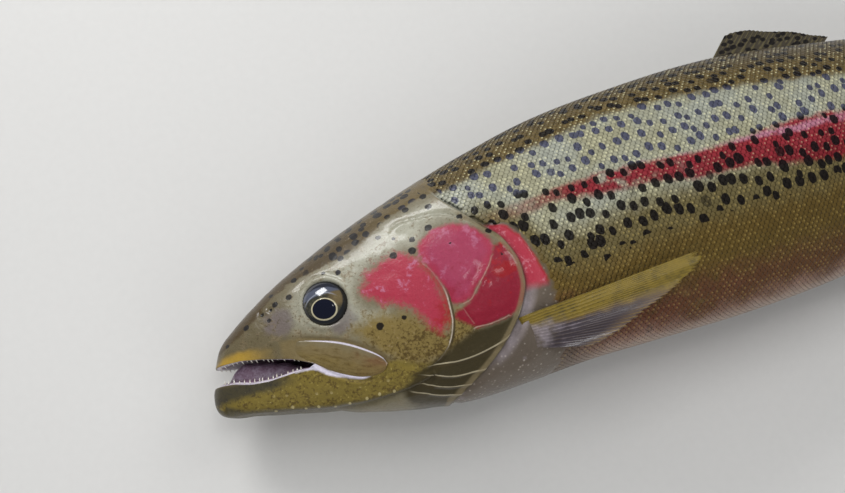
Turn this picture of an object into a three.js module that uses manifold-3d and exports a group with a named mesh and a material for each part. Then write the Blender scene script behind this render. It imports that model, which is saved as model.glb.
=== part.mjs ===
import * as THREE from 'three';
import { mergeVertices } from 'three/addons/utils/BufferGeometryUtils.js';
import Module from 'manifold-3d';

// Rainbow trout, life size, lying on its right side. Millimetres.
// Fish frame: s runs from the snout to the tail, h is up towards the back, w is out to the left side.
// World frame: X = s, Y = h, Z = restHeight(s) + w, and the whole fish is centred at the end.

const wasm = await Module();
wasm.setup();

// Driving dimensions
const noseStart = -3; // where the closed front of the body begins
const hypuralEnd = 556; // end of the fleshy tail stalk
const forkDepth = 17;
const tailTip = 620;
const gap = 0.3; // clearance between neighbouring solids
const pressed = 1.1; // how far the right flank flattens on the floor
const snoutHeight = 24; // height of the midplane at the snout
const neckStation = 125; // the head droops ahead of this station
const finThickness = 1.2;
const finRoot = 3; // how deep a fin sits in the flesh
const ringCount = 42;
const ringCrowding = 2; // rings crowd towards the nose by this power
const aroundCount = 34;
const wide = 200; // reach of a cutting prism past the body

// Outline of the body: knots of [station, value]
const topKnots = [
  [-3, -11], [-1.5, -2.5], [1, 2.6], [4, 5.7], [9, 8.9], [20, 15], [34, 21.8], [56, 30.6], [80, 39],
  [107, 46.8], [141, 55.2], [175, 61.4], [215, 64], [275, 63.6], [340, 54.8], [410, 43], [470, 33],
  [515, 28], [556, 28.5],
];
const bottomKnots = [
  [-3, -11], [-1.8, -20], [1, -25.6], [6, -29.2], [16, -32.8], [29, -36.9], [42, -40.6], [56, -45.2],
  [72, -50.2], [90, -54.6], [108, -57.3], [135, -57.8], [165, -57.6], [200, -59.4], [250, -61.5],
  [300, -60.2], [350, -54.8], [411, -44], [470, -33.4], [515, -28.4], [556, -28.5],
];
const widthKnots = [
  [-3, 0], [0, 6], [5, 9], [10, 11], [20, 13.8], [34, 16.6], [54, 20.8], [75, 26], [100, 31], [125, 34],
  [150, 34.6], [200, 36.5], [255, 37.5], [310, 36], [370, 31.4], [430, 24], [480, 17], [520, 11.4], [556, 7],
];
const levelKnots = [[-3, -11], [10, -7], [30, -5], [54, -5], [80, -6], [110, -6], [150, -2], [220, 2], [350, 1], [556, 0]];
const upperPowerKnots = [[-3, 1], [10, 0.8], [54, 0.74], [90, 0.86], [150, 1], [556, 1]];
const lowerPowerKnots = [[-3, 0.8], [30, 0.62], [70, 0.74], [110, 0.78], [160, 0.84], [300, 0.82], [556, 0.95]];

// A smooth curve through knots, read along the square root of the distance from the nose
function curveThrough(knots) {
  const a = knots.map((knot) => Math.sqrt(knot[0] - noseStart));
  const y = knots.map((knot) => knot[1]);
  const last = knots.length - 1;
  const chord = (i) => (y[i + 1] - y[i]) / (a[i + 1] - a[i]);
  const slope = y.map((value, i) => {
    if (i === 0) return chord(0);
    if (i === last) return chord(last - 1);
    return (chord(i - 1) + chord(i)) / 2;
  });
  return (s) => {
    const at = Math.sqrt(Math.max(s - noseStart, 0));
    let i = 0;
    while (i < last - 1 && at > a[i + 1]) i += 1;
    const span = a[i + 1] - a[i];
    const t = Math.min((at - a[i]) / span, 1);
    const u = 1 - t;
    return (
      y[i] * (1 + 2 * t) * u * u + slope[i] * span * t * u * u +
      y[i + 1] * (3 - 2 * t) * t * t - slope[i + 1] * span * t * t * u
    );
  };
}
const topAt = curveThrough(topKnots);
const bottomAt = curveThrough(bottomKnots);
const halfWidthAt = curveThrough(widthKnots);
const levelAt = curveThrough(levelKnots);
const upperPowerAt = curveThrough(upperPowerKnots);
const lowerPowerAt = curveThrough(lowerPowerKnots);

// The front sections lean, so the lower jaw reaches past the upper one
const upperLean = 0.2;
const lowerLean = 0.5;
const leanFade = 12;
const noseLevel = -11;
function leanOf(s, h) {
  const lean = h > noseLevel ? upperLean : lowerLean;
  return lean * Math.exp(-(s - noseStart) / leanFade) * (h - noseLevel);
}

// Height of the midplane above the floor: the flank touches all along the trunk, the tail sags
const tailRestHeight = 2.2;
function restHeight(s) {
  if (s > hypuralEnd) {
    const t = Math.min((s - hypuralEnd) / (tailTip - hypuralEnd), 1);
    return (halfWidthAt(hypuralEnd) - pressed) * (1 - t) + tailRestHeight * t;
  }
  if (s > neckStation) return halfWidthAt(s) - pressed;
  const atNeck = halfWidthAt(neckStation) - pressed;
  const t = (neckStation - s) / neckStation;
  return atNeck - (atNeck - snoutHeight) * (0.3 * t + 0.7 * t * t);
}

// Half width of the body at a point of its side view
function flankAt(x, h) {
  let s = x;
  for (let pass = 0; pass < 4; pass += 1) s = x - leanOf(s, h);
  const level = levelAt(s);
  const upper = h > level;
  const reach = upper ? topAt(s) - level : level - bottomAt(s);
  const across = Math.sqrt(Math.max(1 - ((h - level) / reach) ** 2, 0));
  return halfWidthAt(s) * across ** (upper ? upperPowerAt(s) : lowerPowerAt(s));
}

function world(s, h, w) {
  return new THREE.Vector3(s, h, Math.max(restHeight(s) + w, 0));
}

// Closed solids from grids of points
function solidFrom(points, triangles) {
  return new wasm.Manifold(new wasm.Mesh({
    numProp: 3,
    vertProperties: new Float32Array(points.flatMap((point) => [point.x, point.y, point.z])),
    triVerts: new Uint32Array(triangles.flat()),
  }));
}

function solidOf(geometry) {
  geometry.deleteAttribute('normal');
  geometry.deleteAttribute('uv');
  const merged = mergeVertices(geometry, 1e-4);
  return new wasm.Manifold(new wasm.Mesh({
    numProp: 3,
    vertProperties: merged.attributes.position.array,
    triVerts: merged.index.array,
  }));
}

// The whole body: superelliptic sections, closed by a point at the nose and at the tail stalk
function bodySolid() {
  const points = [world(noseStart, noseLevel, 0)];
  for (let ring = 1; ring <= ringCount; ring += 1) {
    const s = noseStart + (hypuralEnd - noseStart) * (ring / ringCount) ** ringCrowding;
    for (let k = 0; k < aroundCount; k += 1) {
      const angle = (2 * Math.PI * k) / aroundCount;
      const upper = Math.cos(angle) > 0;
      const reach = upper ? topAt(s) - levelAt(s) : levelAt(s) - bottomAt(s);
      const h = levelAt(s) + reach * Math.cos(angle);
      const power = upper ? upperPowerAt(s) : lowerPowerAt(s);
      const w = halfWidthAt(s) * Math.sign(Math.sin(angle)) * Math.abs(Math.sin(angle)) ** power;
      const point = world(s, h, w);
      point.x += leanOf(s, h);
      points.push(point);
    }
  }
  points.push(world(hypuralEnd + 1, 0, 0));
  const end = points.length - 1;
  const at = (ring, k) => 1 + (ring - 1) * aroundCount + (k % aroundCount);
  const triangles = [];
  for (let k = 0; k < aroundCount; k += 1) {
    triangles.push([0, at(1, k + 1), at(1, k)]);
    triangles.push([end, at(ringCount, k), at(ringCount, k + 1)]);
    for (let ring = 1; ring < ringCount; ring += 1) {
      triangles.push([at(ring, k), at(ring + 1, k + 1), at(ring + 1, k)]);
      triangles.push([at(ring, k), at(ring, k + 1), at(ring + 1, k + 1)]);
    }
  }
  return solidFrom(points, triangles);
}

// A side-view outline moved outwards by a distance, corner by corner
function offsetOutline(outline, distance) {
  const area = outline.reduce((sum, [x, y], i) => {
    const [nextX, nextY] = outline[(i + 1) % outline.length];
    return sum + x * nextY - nextX * y;
  }, 0);
  const turn = Math.sign(area);
  const normal = (from, to) => {
    const length = Math.hypot(to[0] - from[0], to[1] - from[1]);
    return [(turn * (to[1] - from[1])) / length, (-turn * (to[0] - from[0])) / length];
  };
  return outline.map((corner, i) => {
    const before = normal(outline[(i + outline.length - 1) % outline.length], corner);
    const after = normal(corner, outline[(i + 1) % outline.length]);
    const scale = distance / (1 + before[0] * after[0] + before[1] * after[1]);
    return [corner[0] + scale * (before[0] + after[0]), corner[1] + scale * (before[1] + after[1])];
  });
}

// A prism through the body under a side-view outline, between two heights
function prism(outline, from = -wide, to = wide) {
  const shape = new THREE.Shape(outline.map(([x, y]) => new THREE.Vector2(x, y)));
  const geometry = new THREE.ExtrudeGeometry(shape, { depth: to - from, bevelEnabled: false });
  geometry.translate(0, 0, from);
  return solidOf(geometry);
}

// Part a solid along an outline, leaving the gap: returns the piece inside and the rest
function partAlong(solid, outline, from = -wide, to = wide) {
  const inside = prism(offsetOutline(outline, -gap / 2), from + gap / 2, to - gap / 2);
  const outside = prism(offsetOutline(outline, gap / 2), from - gap / 2, to + gap / 2);
  return [solid.intersect(inside), solid.subtract(outside)];
}

// Side-view outlines of the head's parts
const upperJawEdge = [[-2, -4.2], [1, -4.6], [10.5, -6.3], [19, -9], [32, -13.8], [38, -17.4]];
const lowerJawEdge = [[38, -20.6], [30, -20.2], [20, -19.8], [11, -18], [4, -14.9], [-3, -13.2], [-6, -13.4]];
const gapeOutline = [[-wide, -4], ...upperJawEdge, [41.5, -19.6], ...lowerJawEdge, [-wide, -11]];
const jawOutline = [
  [-wide, -8], [0, -8.5], [20, -14], [38, -19], [42, -19.8], [50, -28.3], [58, -32.6], [65, -34.4], [73, -34.6], [84, -38], [86, -42],
  [70, -58], [60, -90], [-wide, -90],
];
const maxillaOutline = [
  [31, -6], [40.6, -8.2], [50.8, -12.5], [58.5, -17.1], [65.7, -23.1], [69.8, -27.5], [71, -31], [69, -33],
  [64.4, -33.4], [58, -31.8], [51, -28], [46, -23.8], [39, -16.6], [31, -12.6],
];
const headOutline = [
  [-wide, 90], [112, 90], [116, 46], [124, 22], [131, 11], [136, 4], [139.4, -7], [139.4, -15], [138, -21],
  [132.5, -29.8], [124.7, -38], [115.5, -45], [101, -54], [90, -62], [80, -90], [-wide, -90],
];
const throatOutline = [[60, -90], [70, -58], [86, -42], [98, -43.5], [117, -43.8], [150, -20], [150, -90]];
const gillCoverOutline = [
  [92, 18], [95, 26.5], [105, 26.2], [115, 23.8], [122, 19], [150, -8], [150, -30], [116, -43.2],
  [100, -43], [96, -35], [101.8, -28], [104.2, -17], [103.4, -6], [99, 6],
];

// Cone teeth along both jaw edges, one after another on each side
const toothCount = 7;
const toothHeight = 2.9;
const toothRadius = 0.62;
const toothInset = 1.7;
function jawTeeth(edgeAt, pointing) {
  const teeth = [];
  for (let i = 0; i < toothCount; i += 1) {
    const s = 2.5 + (31 * i) / (toothCount - 1);
    const h = edgeAt(s);
    for (const side of [-1, 1]) {
      const cone = new THREE.ConeGeometry(toothRadius, toothHeight, 4);
      if (pointing < 0) cone.rotateX(Math.PI);
      const foot = world(s, h, side * (flankAt(s, h) - toothInset));
      cone.translate(foot.x, foot.y + pointing * toothHeight * 0.25, foot.z);
      teeth.push(solidOf(cone));
    }
  }
  return teeth;
}
function edgeHeight(edge) {
  const sorted = [...edge].sort((p, q) => p[0] - q[0]);
  return (s) => {
    let i = 0;
    while (i < sorted.length - 2 && s > sorted[i + 1][0]) i += 1;
    const t = (s - sorted[i][0]) / (sorted[i + 1][0] - sorted[i][0]);
    return sorted[i][1] * (1 - t) + sorted[i + 1][1] * t;
  };
}

// The tongue: a low rounded blade on the floor of the mouth
const tongueStart = 12;
const tongueEnd = 38;
const tongueHalfWidth = 4.6;
const tongueTop = -15.6;
function tongueSolid(grow) {
  const ball = new THREE.SphereGeometry(1, 10, 7);
  const halfLength = (tongueEnd - tongueStart) / 2;
  ball.scale(halfLength + grow, 3 + grow, tongueHalfWidth + grow);
  const centre = world((tongueStart + tongueEnd) / 2, tongueTop - 3, 0);
  ball.translate(centre.x, centre.y, centre.z);
  return solidOf(ball);
}

// Eyeballs: flattened globes set in sockets
const eyeStation = 54.2;
const eyeLevel = 4.7;
const eyeRadius = 11;
const eyeDepth = 6;
const eyeSunk = 3.6;
const eyeTilt = 0.2; // the globe faces a little up, with the flank
function eyeSolid(side, grow) {
  const ball = new THREE.SphereGeometry(1, 15, 9);
  ball.rotateX(Math.PI / 2);
  ball.scale(eyeRadius + grow, eyeRadius + grow, eyeDepth + grow);
  ball.rotateX(-side * eyeTilt);
  ball.rotateY(-side * eyeTilt);
  const centre = world(eyeStation, eyeLevel, side * (flankAt(eyeStation, eyeLevel) - eyeSunk));
  ball.translate(centre.x, centre.y, centre.z);
  return solidOf(ball);
}

// A fin: a thin slab between a base line in the flesh and a tip line, fanning from one to the other
const finColumns = 7;
const finRows = 3;
function finSolid({ base, tip, bulge = 0, thick = finThickness }, grow) {
  const rootAt = (u) => base(u);
  const pointAt = (u, v) => {
    const root = rootAt(u);
    const end = tip(u);
    const stretch = v * (1 + bulge * Math.sin(Math.PI * Math.min(Math.max(u, 0), 1)));
    return world(
      root[0] + (end[0] - root[0]) * stretch,
      root[1] + (end[1] - root[1]) * stretch,
      root[2] + (end[2] - root[2]) * stretch,
    );
  };
  const step = 0.02;
  const normalAt = (u, v) => {
    const alongU = pointAt(u + step, v).sub(pointAt(u - step, v));
    const alongV = pointAt(u, v + step).sub(pointAt(u, v - step));
    return alongU.cross(alongV).normalize();
  };
  const points = [];
  const margin = grow * 0.04;
  for (const face of [1, -1]) {
    for (let i = 0; i <= finColumns; i += 1) {
      for (let j = 0; j <= finRows; j += 1) {
        const u = -margin + ((1 + 2 * margin) * i) / finColumns;
        const v = -margin + ((1 + 2 * margin) * j) / finRows;
        const taper = 1 - 0.45 * v;
        const half = face * ((thick * taper) / 2 + grow);
        const point = pointAt(u, v).addScaledVector(normalAt(u, Math.max(v, 0.05)), half);
        point.z = Math.max(point.z, face * normalAt(0.5, 0.5).z > 0 ? thick * 0.6 : 0);
        points.push(point);
      }
    }
  }
  const sheet = (finColumns + 1) * (finRows + 1);
  const at = (face, i, j) => face * sheet + i * (finRows + 1) + j;
  const triangles = [];
  const quad = (a, b, c, d) => triangles.push([a, b, c], [a, c, d]);
  for (let i = 0; i < finColumns; i += 1) {
    for (let j = 0; j < finRows; j += 1) {
      quad(at(0, i, j), at(0, i + 1, j), at(0, i + 1, j + 1), at(0, i, j + 1));
      quad(at(1, i, j), at(1, i, j + 1), at(1, i + 1, j + 1), at(1, i + 1, j));
    }
    quad(at(0, i, 0), at(1, i, 0), at(1, i + 1, 0), at(0, i + 1, 0));
    quad(at(0, i, finRows), at(0, i + 1, finRows), at(1, i + 1, finRows), at(1, i, finRows));
  }
  for (let j = 0; j < finRows; j += 1) {
    quad(at(0, 0, j), at(0, 0, j + 1), at(1, 0, j + 1), at(1, 0, j));
    quad(at(0, finColumns, j), at(1, finColumns, j), at(1, finColumns, j + 1), at(0, finColumns, j + 1));
  }
  return solidFrom(points, triangles);
}

const mix = (a, b, t) => a + (b - a) * t;
const mixPoints = (p, q, t) => p.map((value, i) => mix(value, q[i], t));

// Base lines in the flesh: along the back, along the belly, or on a flank
const backLine = (from, to) => (u) => [mix(from, to, u), topAt(mix(from, to, u)) - finRoot, 0];
const bellyLine = (from, to) => (u) => [mix(from, to, u), bottomAt(mix(from, to, u)) + finRoot, 0];
function flankLine(from, to, side) {
  return (u) => {
    const [s, h] = mixPoints(from, to, u);
    return [s, h, side * (flankAt(s, h) - finRoot)];
  };
}
const between = (lead, trail) => (u) => mixPoints(lead, trail, u);

const caudalHalfBase = 25;
const caudalHalfSpan = 58;
const caudalBaseStation = hypuralEnd - 4;
const fins = {
  dorsal_fin: { base: backLine(276, 337), tip: between([294, 76, -1.5], [346, 58.5, -1]), bulge: 0.06 },
  adipose_fin: { base: backLine(459, 472), tip: between([481, 46.5, -1], [484, 38, -1]), thick: 2.2 },
  anal_fin: { base: bellyLine(411, 459), tip: between([442, -80, -6], [480, -45, -4]), bulge: 0.05 },
  caudal_fin: {
    base: (u) => [caudalBaseStation, mix(caudalHalfBase, -caudalHalfBase, u), 0],
    tip: (u) => {
      const across = 1 - 2 * u;
      return [tailTip - forkDepth * (1 - across * across), caudalHalfSpan * across, 0];
    },
    thick: 1.6,
  },
  pectoral_fin_left: {
    base: flankLine([131.5, -32], [135, -46], 1),
    tip: between([218, -31, 41], [158, -55, 33]),
    bulge: 0.2,
  },
  pectoral_fin_right: {
    base: flankLine([131.5, -32], [135, -46], -1),
    tip: between([216, -36, -34.8], [160, -51, -33.4]),
    bulge: 0.12,
  },
  pelvic_fin_left: {
    base: flankLine([297, -55.5], [304, -57.8], 1),
    tip: between([352, -55, 27], [342, -62, 6]),
    bulge: 0.08,
  },
  pelvic_fin_right: {
    base: flankLine([297, -55.5], [304, -57.8], -1),
    tip: between([350, -53, -26], [342, -62, -8]),
    bulge: 0.08,
  },
};

// The fleshy parts
const gillCoverInner = 21; // half width where the gill covers end inwards
const maxillaInner = 12;
const neckHeight = restHeight(neckStation);
const parts = {};
const [headBlock, trunkBlock] = partAlong(bodySolid(), headOutline);
const opened = headBlock.subtract(prism(gapeOutline));
const [jaw, aboveJaw] = partAlong(opened, jawOutline);
const [throat, aboveThroat] = partAlong(aboveJaw, throatOutline);
parts.throat = throat;
let skull = aboveThroat;
for (const side of ['left', 'right']) {
  const sign = side === 'left' ? 1 : -1;
  const cutOff = (outline, inner, middle) => {
    const range = sign > 0 ? [middle + inner, wide] : [-wide, middle - inner];
    return partAlong(skull, outline, ...range);
  };
  [parts[`gill_cover_${side}`], skull] = cutOff(gillCoverOutline, gillCoverInner, neckHeight);
  [parts[`maxilla_${side}`], skull] = cutOff(maxillaOutline, maxillaInner, restHeight(50));
  parts[`eye_${side}`] = eyeSolid(sign, 0);
  skull = skull.subtract(eyeSolid(sign, gap));
}
parts.tongue = tongueSolid(0);
parts.head = jawTeeth(edgeHeight(upperJawEdge), -1).reduce((sum, tooth) => sum.add(tooth), skull);
parts.lower_jaw = jawTeeth(edgeHeight(lowerJawEdge), 1)
  .reduce((sum, tooth) => sum.add(tooth), jaw.subtract(tongueSolid(gap)));

// The trunk in lengths
const trunkCuts = { trunk_front: [0, 238], trunk_middle: [238, 356], trunk_rear: [356, 476], tail_stalk: [476, 700] };
for (const [name, [from, to]] of Object.entries(trunkCuts)) {
  const slice = prism([[from + gap / 2, -wide], [to - gap / 2, -wide], [to - gap / 2, wide], [from + gap / 2, wide]]);
  parts[name] = trunkBlock.intersect(slice);
}

// Each fin stands in a slot of the flesh
for (const [name, fin] of Object.entries(fins)) {
  parts[name] = finSolid(fin, 0);
  const slot = finSolid(fin, gap);
  for (const flesh of ['throat', 'head', 'lower_jaw', ...Object.keys(trunkCuts)]) {
    parts[flesh] = parts[flesh].subtract(slot);
  }
}

// Finishes
const finishes = {
  skin: { color: 0x8a8456, roughness: 0.35 },
  gillSkin: { color: 0xb04a5e, roughness: 0.3 },
  jawSkin: { color: 0x9a8a3c, roughness: 0.35 },
  bellySkin: { color: 0xb5aa9a, roughness: 0.35 },
  finSkin: { color: 0x8c7a3a, roughness: 0.4 },
  eyeball: { color: 0x2a2620, roughness: 0.05 },
  mouthLining: { color: 0xa8808a, roughness: 0.3 },
};
function finishOf(name) {
  if (name.startsWith('eye')) return finishes.eyeball;
  if (name.startsWith('gill_cover')) return finishes.gillSkin;
  if (name.includes('fin')) return finishes.finSkin;
  if (name.startsWith('maxilla') || name === 'lower_jaw') return finishes.jawSkin;
  if (name === 'throat') return finishes.bellySkin;
  return name === 'tongue' ? finishes.mouthLining : finishes.skin;
}

// Meshes, centred over the floor
const bounds = new THREE.Box3();
const geometries = Object.entries(parts).map(([name, solid]) => {
  const { vertProperties, triVerts } = solid.getMesh();
  const geometry = new THREE.BufferGeometry();
  geometry.setAttribute('position', new THREE.BufferAttribute(vertProperties, 3));
  geometry.setIndex(new THREE.BufferAttribute(triVerts, 1));
  geometry.computeBoundingBox();
  bounds.union(geometry.boundingBox);
  return [name, geometry];
});
const centre = bounds.getCenter(new THREE.Vector3());
const trout = new THREE.Group();
for (const [name, geometry] of geometries) {
  geometry.translate(-centre.x, -centre.y, -bounds.min.z);
  geometry.computeVertexNormals();
  const mesh = new THREE.Mesh(geometry, new THREE.MeshStandardMaterial({ ...finishOf(name), metalness: 0 }));
  mesh.name = name;
  trout.add(mesh);
}

export default trout;
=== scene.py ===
# A rainbow trout, life size, lying on its right side.
# Sizes are millimetres in the fish's own frame until a mesh is made: s runs from snout to tail,
# h is up towards the back and w is out to the left side. World axes are X = s, Y = h, Z = rest + w.
import bpy
import numpy as np
from mathutils import Matrix, Vector


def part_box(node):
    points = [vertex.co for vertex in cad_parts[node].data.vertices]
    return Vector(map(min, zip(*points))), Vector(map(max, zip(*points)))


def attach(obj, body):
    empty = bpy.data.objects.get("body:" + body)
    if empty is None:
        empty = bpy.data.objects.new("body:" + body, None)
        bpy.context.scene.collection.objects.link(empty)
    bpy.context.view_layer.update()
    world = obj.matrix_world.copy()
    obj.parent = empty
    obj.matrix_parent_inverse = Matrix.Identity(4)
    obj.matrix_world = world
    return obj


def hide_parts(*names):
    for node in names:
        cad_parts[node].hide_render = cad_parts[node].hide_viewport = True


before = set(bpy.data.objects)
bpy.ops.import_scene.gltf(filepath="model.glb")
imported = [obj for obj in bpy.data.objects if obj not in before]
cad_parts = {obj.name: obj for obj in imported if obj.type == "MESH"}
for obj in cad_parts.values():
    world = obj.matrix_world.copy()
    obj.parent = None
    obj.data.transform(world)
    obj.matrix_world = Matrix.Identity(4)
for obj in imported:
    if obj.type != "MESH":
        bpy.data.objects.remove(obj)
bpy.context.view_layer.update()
mm = 0.001


# The fish's own shape: the frame's solids' outline, apart from the tail stalk's thinning into the fin
body = {
    "noseStart": -3.0, "noseLevel": -11.0, "hypuralEnd": 556.0, "tailTip": 620.0,
    "pressed": 1.1, "snoutHeight": 24.0, "neckStation": 125.0, "tailRestHeight": 2.2,
    "upperLean": 0.2, "lowerLean": 0.5, "leanFade": 12.0,
    "skinInset": 0.55,      # how far the skin lies inside the solids where scales cover it
    "floorGap": 0.25,       # the lowest skin stays this far above the floor
    "thinFrom": 526.0, "tailThinning": 0.68,   # the share of its width that the tail stalk loses at the fin
}
# heights, half width and section shape as (station, value) knots from the nose to the tail fin's root
knots = {
    "top": [(-3, -11), (-1.5, -2.5), (1, 2.6), (4, 5.7), (9, 8.9), (20, 15), (34, 21.8), (56, 30.6),
            (80, 39), (107, 46.8), (141, 55.2), (175, 61.4), (215, 64), (275, 63.6), (340, 54.8),
            (410, 43), (470, 33), (515, 28), (556, 28.5)],
    "bottom": [(-3, -11), (-1.8, -20), (1, -25.6), (6, -29.2), (16, -32.8), (29, -36.9), (42, -40.6),
               (56, -45.2), (72, -50.2), (90, -54.6), (108, -57.3), (135, -57.8), (165, -57.6),
               (200, -59.4), (250, -61.5), (300, -60.2), (350, -54.8), (411, -44), (470, -33.4),
               (515, -28.4), (556, -28.5)],
    "width": [(-3, 0), (0, 6), (5, 9), (10, 11), (20, 13.8), (34, 16.6), (54, 20.8), (75, 26), (100, 31),
              (125, 34), (150, 34.6), (200, 36.5), (255, 37.5), (310, 36), (370, 31.4), (430, 24),
              (480, 17), (520, 11.4), (556, 7)],
    "level": [(-3, -11), (10, -7), (30, -5), (54, -5), (80, -6), (110, -6), (150, -2), (220, 2),
              (350, 1), (556, 0)],
    "upperPower": [(-3, 1), (10, 0.8), (54, 0.74), (90, 0.86), (150, 1), (556, 1)],
    "lowerPower": [(-3, 0.8), (30, 0.62), (70, 0.74), (110, 0.78), (160, 0.84), (300, 0.82), (556, 0.95)],
    "lateral": [(-3, 18), (110, 18.5), (145, 17), (190, 13), (235, 7.5), (290, 3.2), (400, 0.8),
                (556, 0)],
}


# A curve through knots: cubic pieces in the square root of the distance from the nose,
# each knot's slope being the mean of its two chords
def curveThrough(points):
    a = np.sqrt(np.array([p[0] for p in points]) - body["noseStart"])
    y = np.array([p[1] for p in points], float)
    chord = np.diff(y) / np.diff(a)
    slope = np.concatenate([[chord[0]], (chord[:-1] + chord[1:]) / 2, [chord[-1]]])

    def read(s):
        at = np.sqrt(np.maximum(np.asarray(s, float) - body["noseStart"], 0))
        i = np.clip(np.searchsorted(a, at) - 1, 0, len(a) - 2)
        span = a[i + 1] - a[i]
        t = np.minimum((at - a[i]) / span, 1)
        u = 1 - t
        return (y[i] * (1 + 2 * t) * u * u + slope[i] * span * t * u * u
                + y[i + 1] * (3 - 2 * t) * t * t - slope[i + 1] * span * t * t * u)
    return read


topAt, bottomAt, widthAt, levelAt, upperPowerAt, lowerPowerAt, lateralAt = [
    curveThrough(line) for line in knots.values()]


# Front sections lean: an exponential fade times the height from the nose level
def leanOf(s, h):
    lean = np.where(h > body["noseLevel"], body["upperLean"], body["lowerLean"])
    return lean * np.exp(-(s - body["noseStart"]) / body["leanFade"]) * (h - body["noseLevel"])


# Height of the midplane over the floor: half width less the pressed depth along the trunk,
# a quadratic droop ahead of the neck and a straight run down the tail fin
def restHeight(s):
    s = np.asarray(s, float)
    atNeck = widthAt(body["neckStation"]) - body["pressed"]
    t = np.clip((body["neckStation"] - s) / body["neckStation"], 0, 1.2)
    droop = atNeck - (atNeck - body["snoutHeight"]) * (0.3 * t + 0.7 * t * t)
    atTail = widthAt(body["hypuralEnd"]) - body["pressed"]
    k = np.clip((s - body["hypuralEnd"]) / (body["tailTip"] - body["hypuralEnd"]), 0, 1)
    tail = atTail * (1 - k) + body["tailRestHeight"] * k
    trunk = widthAt(np.minimum(s, body["hypuralEnd"])) - body["pressed"]
    return np.where(s < body["neckStation"], droop, np.where(s > body["hypuralEnd"], tail, trunk))


# One section point: h runs from the top to the bottom as cos(angle) about the widest level,
# w is the half width times a power of sin(angle)
def sectionPoint(s, angle):
    c, si = np.cos(angle), np.sin(angle)
    upper = c > 0
    level = levelAt(s)
    reach = np.where(upper, topAt(s) - level, level - bottomAt(s))
    h = level + reach * c
    power = np.where(upper, upperPowerAt(s), lowerPowerAt(s))
    thinned = 1 - body["tailThinning"] * smooth(s, body["thinFrom"], body["hypuralEnd"])
    w = widthAt(s) * thinned * np.sign(si) * np.abs(si) ** power
    return np.stack([s + leanOf(s, h), h, w], -1)


# The angle at which a section reaches a height, on the left side
def angleAt(s, h):
    level = levelAt(s)
    reach = np.where(h > level, topAt(s) - level, level - bottomAt(s))
    return np.arccos(np.clip((h - level) / reach, -1, 1))


# Outward unit normal: the cross product of the surface's two central differences
def sectionNormal(s, angle):
    ds, da = 0.4, 0.02
    alongS = sectionPoint(s + ds, angle) - sectionPoint(s - ds, angle)
    alongA = sectionPoint(s, angle + da) - sectionPoint(s, angle - da)
    n = np.cross(alongA, alongS)
    length = np.linalg.norm(n, axis=-1, keepdims=True)
    return n / np.maximum(length, 1e-9)


# The station of a place in the side view: the lean taken off again by a few repeats
def stationOf(x, h):
    s = np.array(x, float)
    for _ in range(4):
        s = x - leanOf(s, h)
    return s


# Half width of the body at a place in its side view
def flankAt(x, h):
    s = stationOf(x, h)
    return np.abs(sectionPoint(s, angleAt(s, h))[..., 2])


# The fish's own frame is moved so that its fins' tips meet the frame's
dorsalPeak = 76.0
shiftX = body["tailTip"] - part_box("caudal_fin")[1].x / mm
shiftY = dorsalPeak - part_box("dorsal_fin")[1].y / mm


# Fish frame to world metres; heights near the floor are eased up to it by a rounded maximum
def toWorld(p, least=None, ease=0.5):
    least = body["floorGap"] if least is None else least
    z = restHeight(p[..., 0]) + p[..., 2]
    z = least + (z - least + np.sqrt((z - least) ** 2 + ease * ease)) / 2
    return np.stack([p[..., 0] - shiftX, p[..., 1] - shiftY, z], -1) * mm


# 0 at lo, 1 at hi and eased between
def smooth(x, lo, hi):
    t = np.clip((x - lo) / (hi - lo), 0, 1)
    return t * t * (3 - 2 * t)


# Smooth value noise: random numbers on a grid, joined by eased bilinear steps
def softNoise(x, y, size, seed=0):
    table = np.random.default_rng(seed).random((64, 64))
    gx, gy = x / size, y / size
    ix, iy = np.floor(gx).astype(int), np.floor(gy).astype(int)
    fx, fy = gx - ix, gy - iy
    fx, fy = fx * fx * (3 - 2 * fx), fy * fy * (3 - 2 * fy)
    v = lambda i, j: table[(ix + i) % 64, (iy + j) % 64]
    near = v(0, 0) * (1 - fx) + v(1, 0) * fx
    far = v(0, 1) * (1 - fx) + v(1, 1) * fx
    return (near * (1 - fy) + far * fy) * 2 - 1


# A polyline made smooth: Catmull-Rom pieces between its points
def smoothLine(points, steps=6):
    p = np.array(points, float)
    p = np.vstack([2 * p[0] - p[1], p, 2 * p[-1] - p[-2]])
    t = np.linspace(0, 1, steps, endpoint=False)[:, None]
    rows = []
    for i in range(1, len(p) - 2):
        a, b, c, d = p[i - 1], p[i], p[i + 1], p[i + 2]
        rows.append(0.5 * (2 * b + (c - a) * t + (2 * a - 5 * b + 4 * c - d) * t ** 2
                           + (3 * b - a - 3 * c + d) * t ** 3))
    return np.vstack(rows + [p[-2][None]])


# Distance to a polyline, the side of it (1 on its left as it runs, -1 on its right) and how far along
# it (0 to 1), from the nearest of its pieces
def nearestOn(x, y, line):
    best, side, along = np.full(x.shape, 1e9), np.ones(x.shape), np.zeros(x.shape)
    for i, (a, b) in enumerate(zip(line[:-1], line[1:])):
        dx, dy = b - a
        t = np.clip(((x - a[0]) * dx + (y - a[1]) * dy) / (dx * dx + dy * dy + 1e-12), 0, 1)
        ox, oy = x - a[0] - t * dx, y - a[1] - t * dy
        d = np.hypot(ox, oy)
        near = d < best
        best = np.where(near, d, best)
        side = np.where(near, np.where(dx * oy - dy * ox >= 0, 1, -1), side)
        along = np.where(near, (i + t) / (len(line) - 1), along)
    return best, side, along


# Distance to a smoothed side-view line, positive on its left, and how far along it
def lineField(x, y, points):
    distance, side, along = nearestOn(x, y, smoothLine(points))
    return distance * side, along


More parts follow.
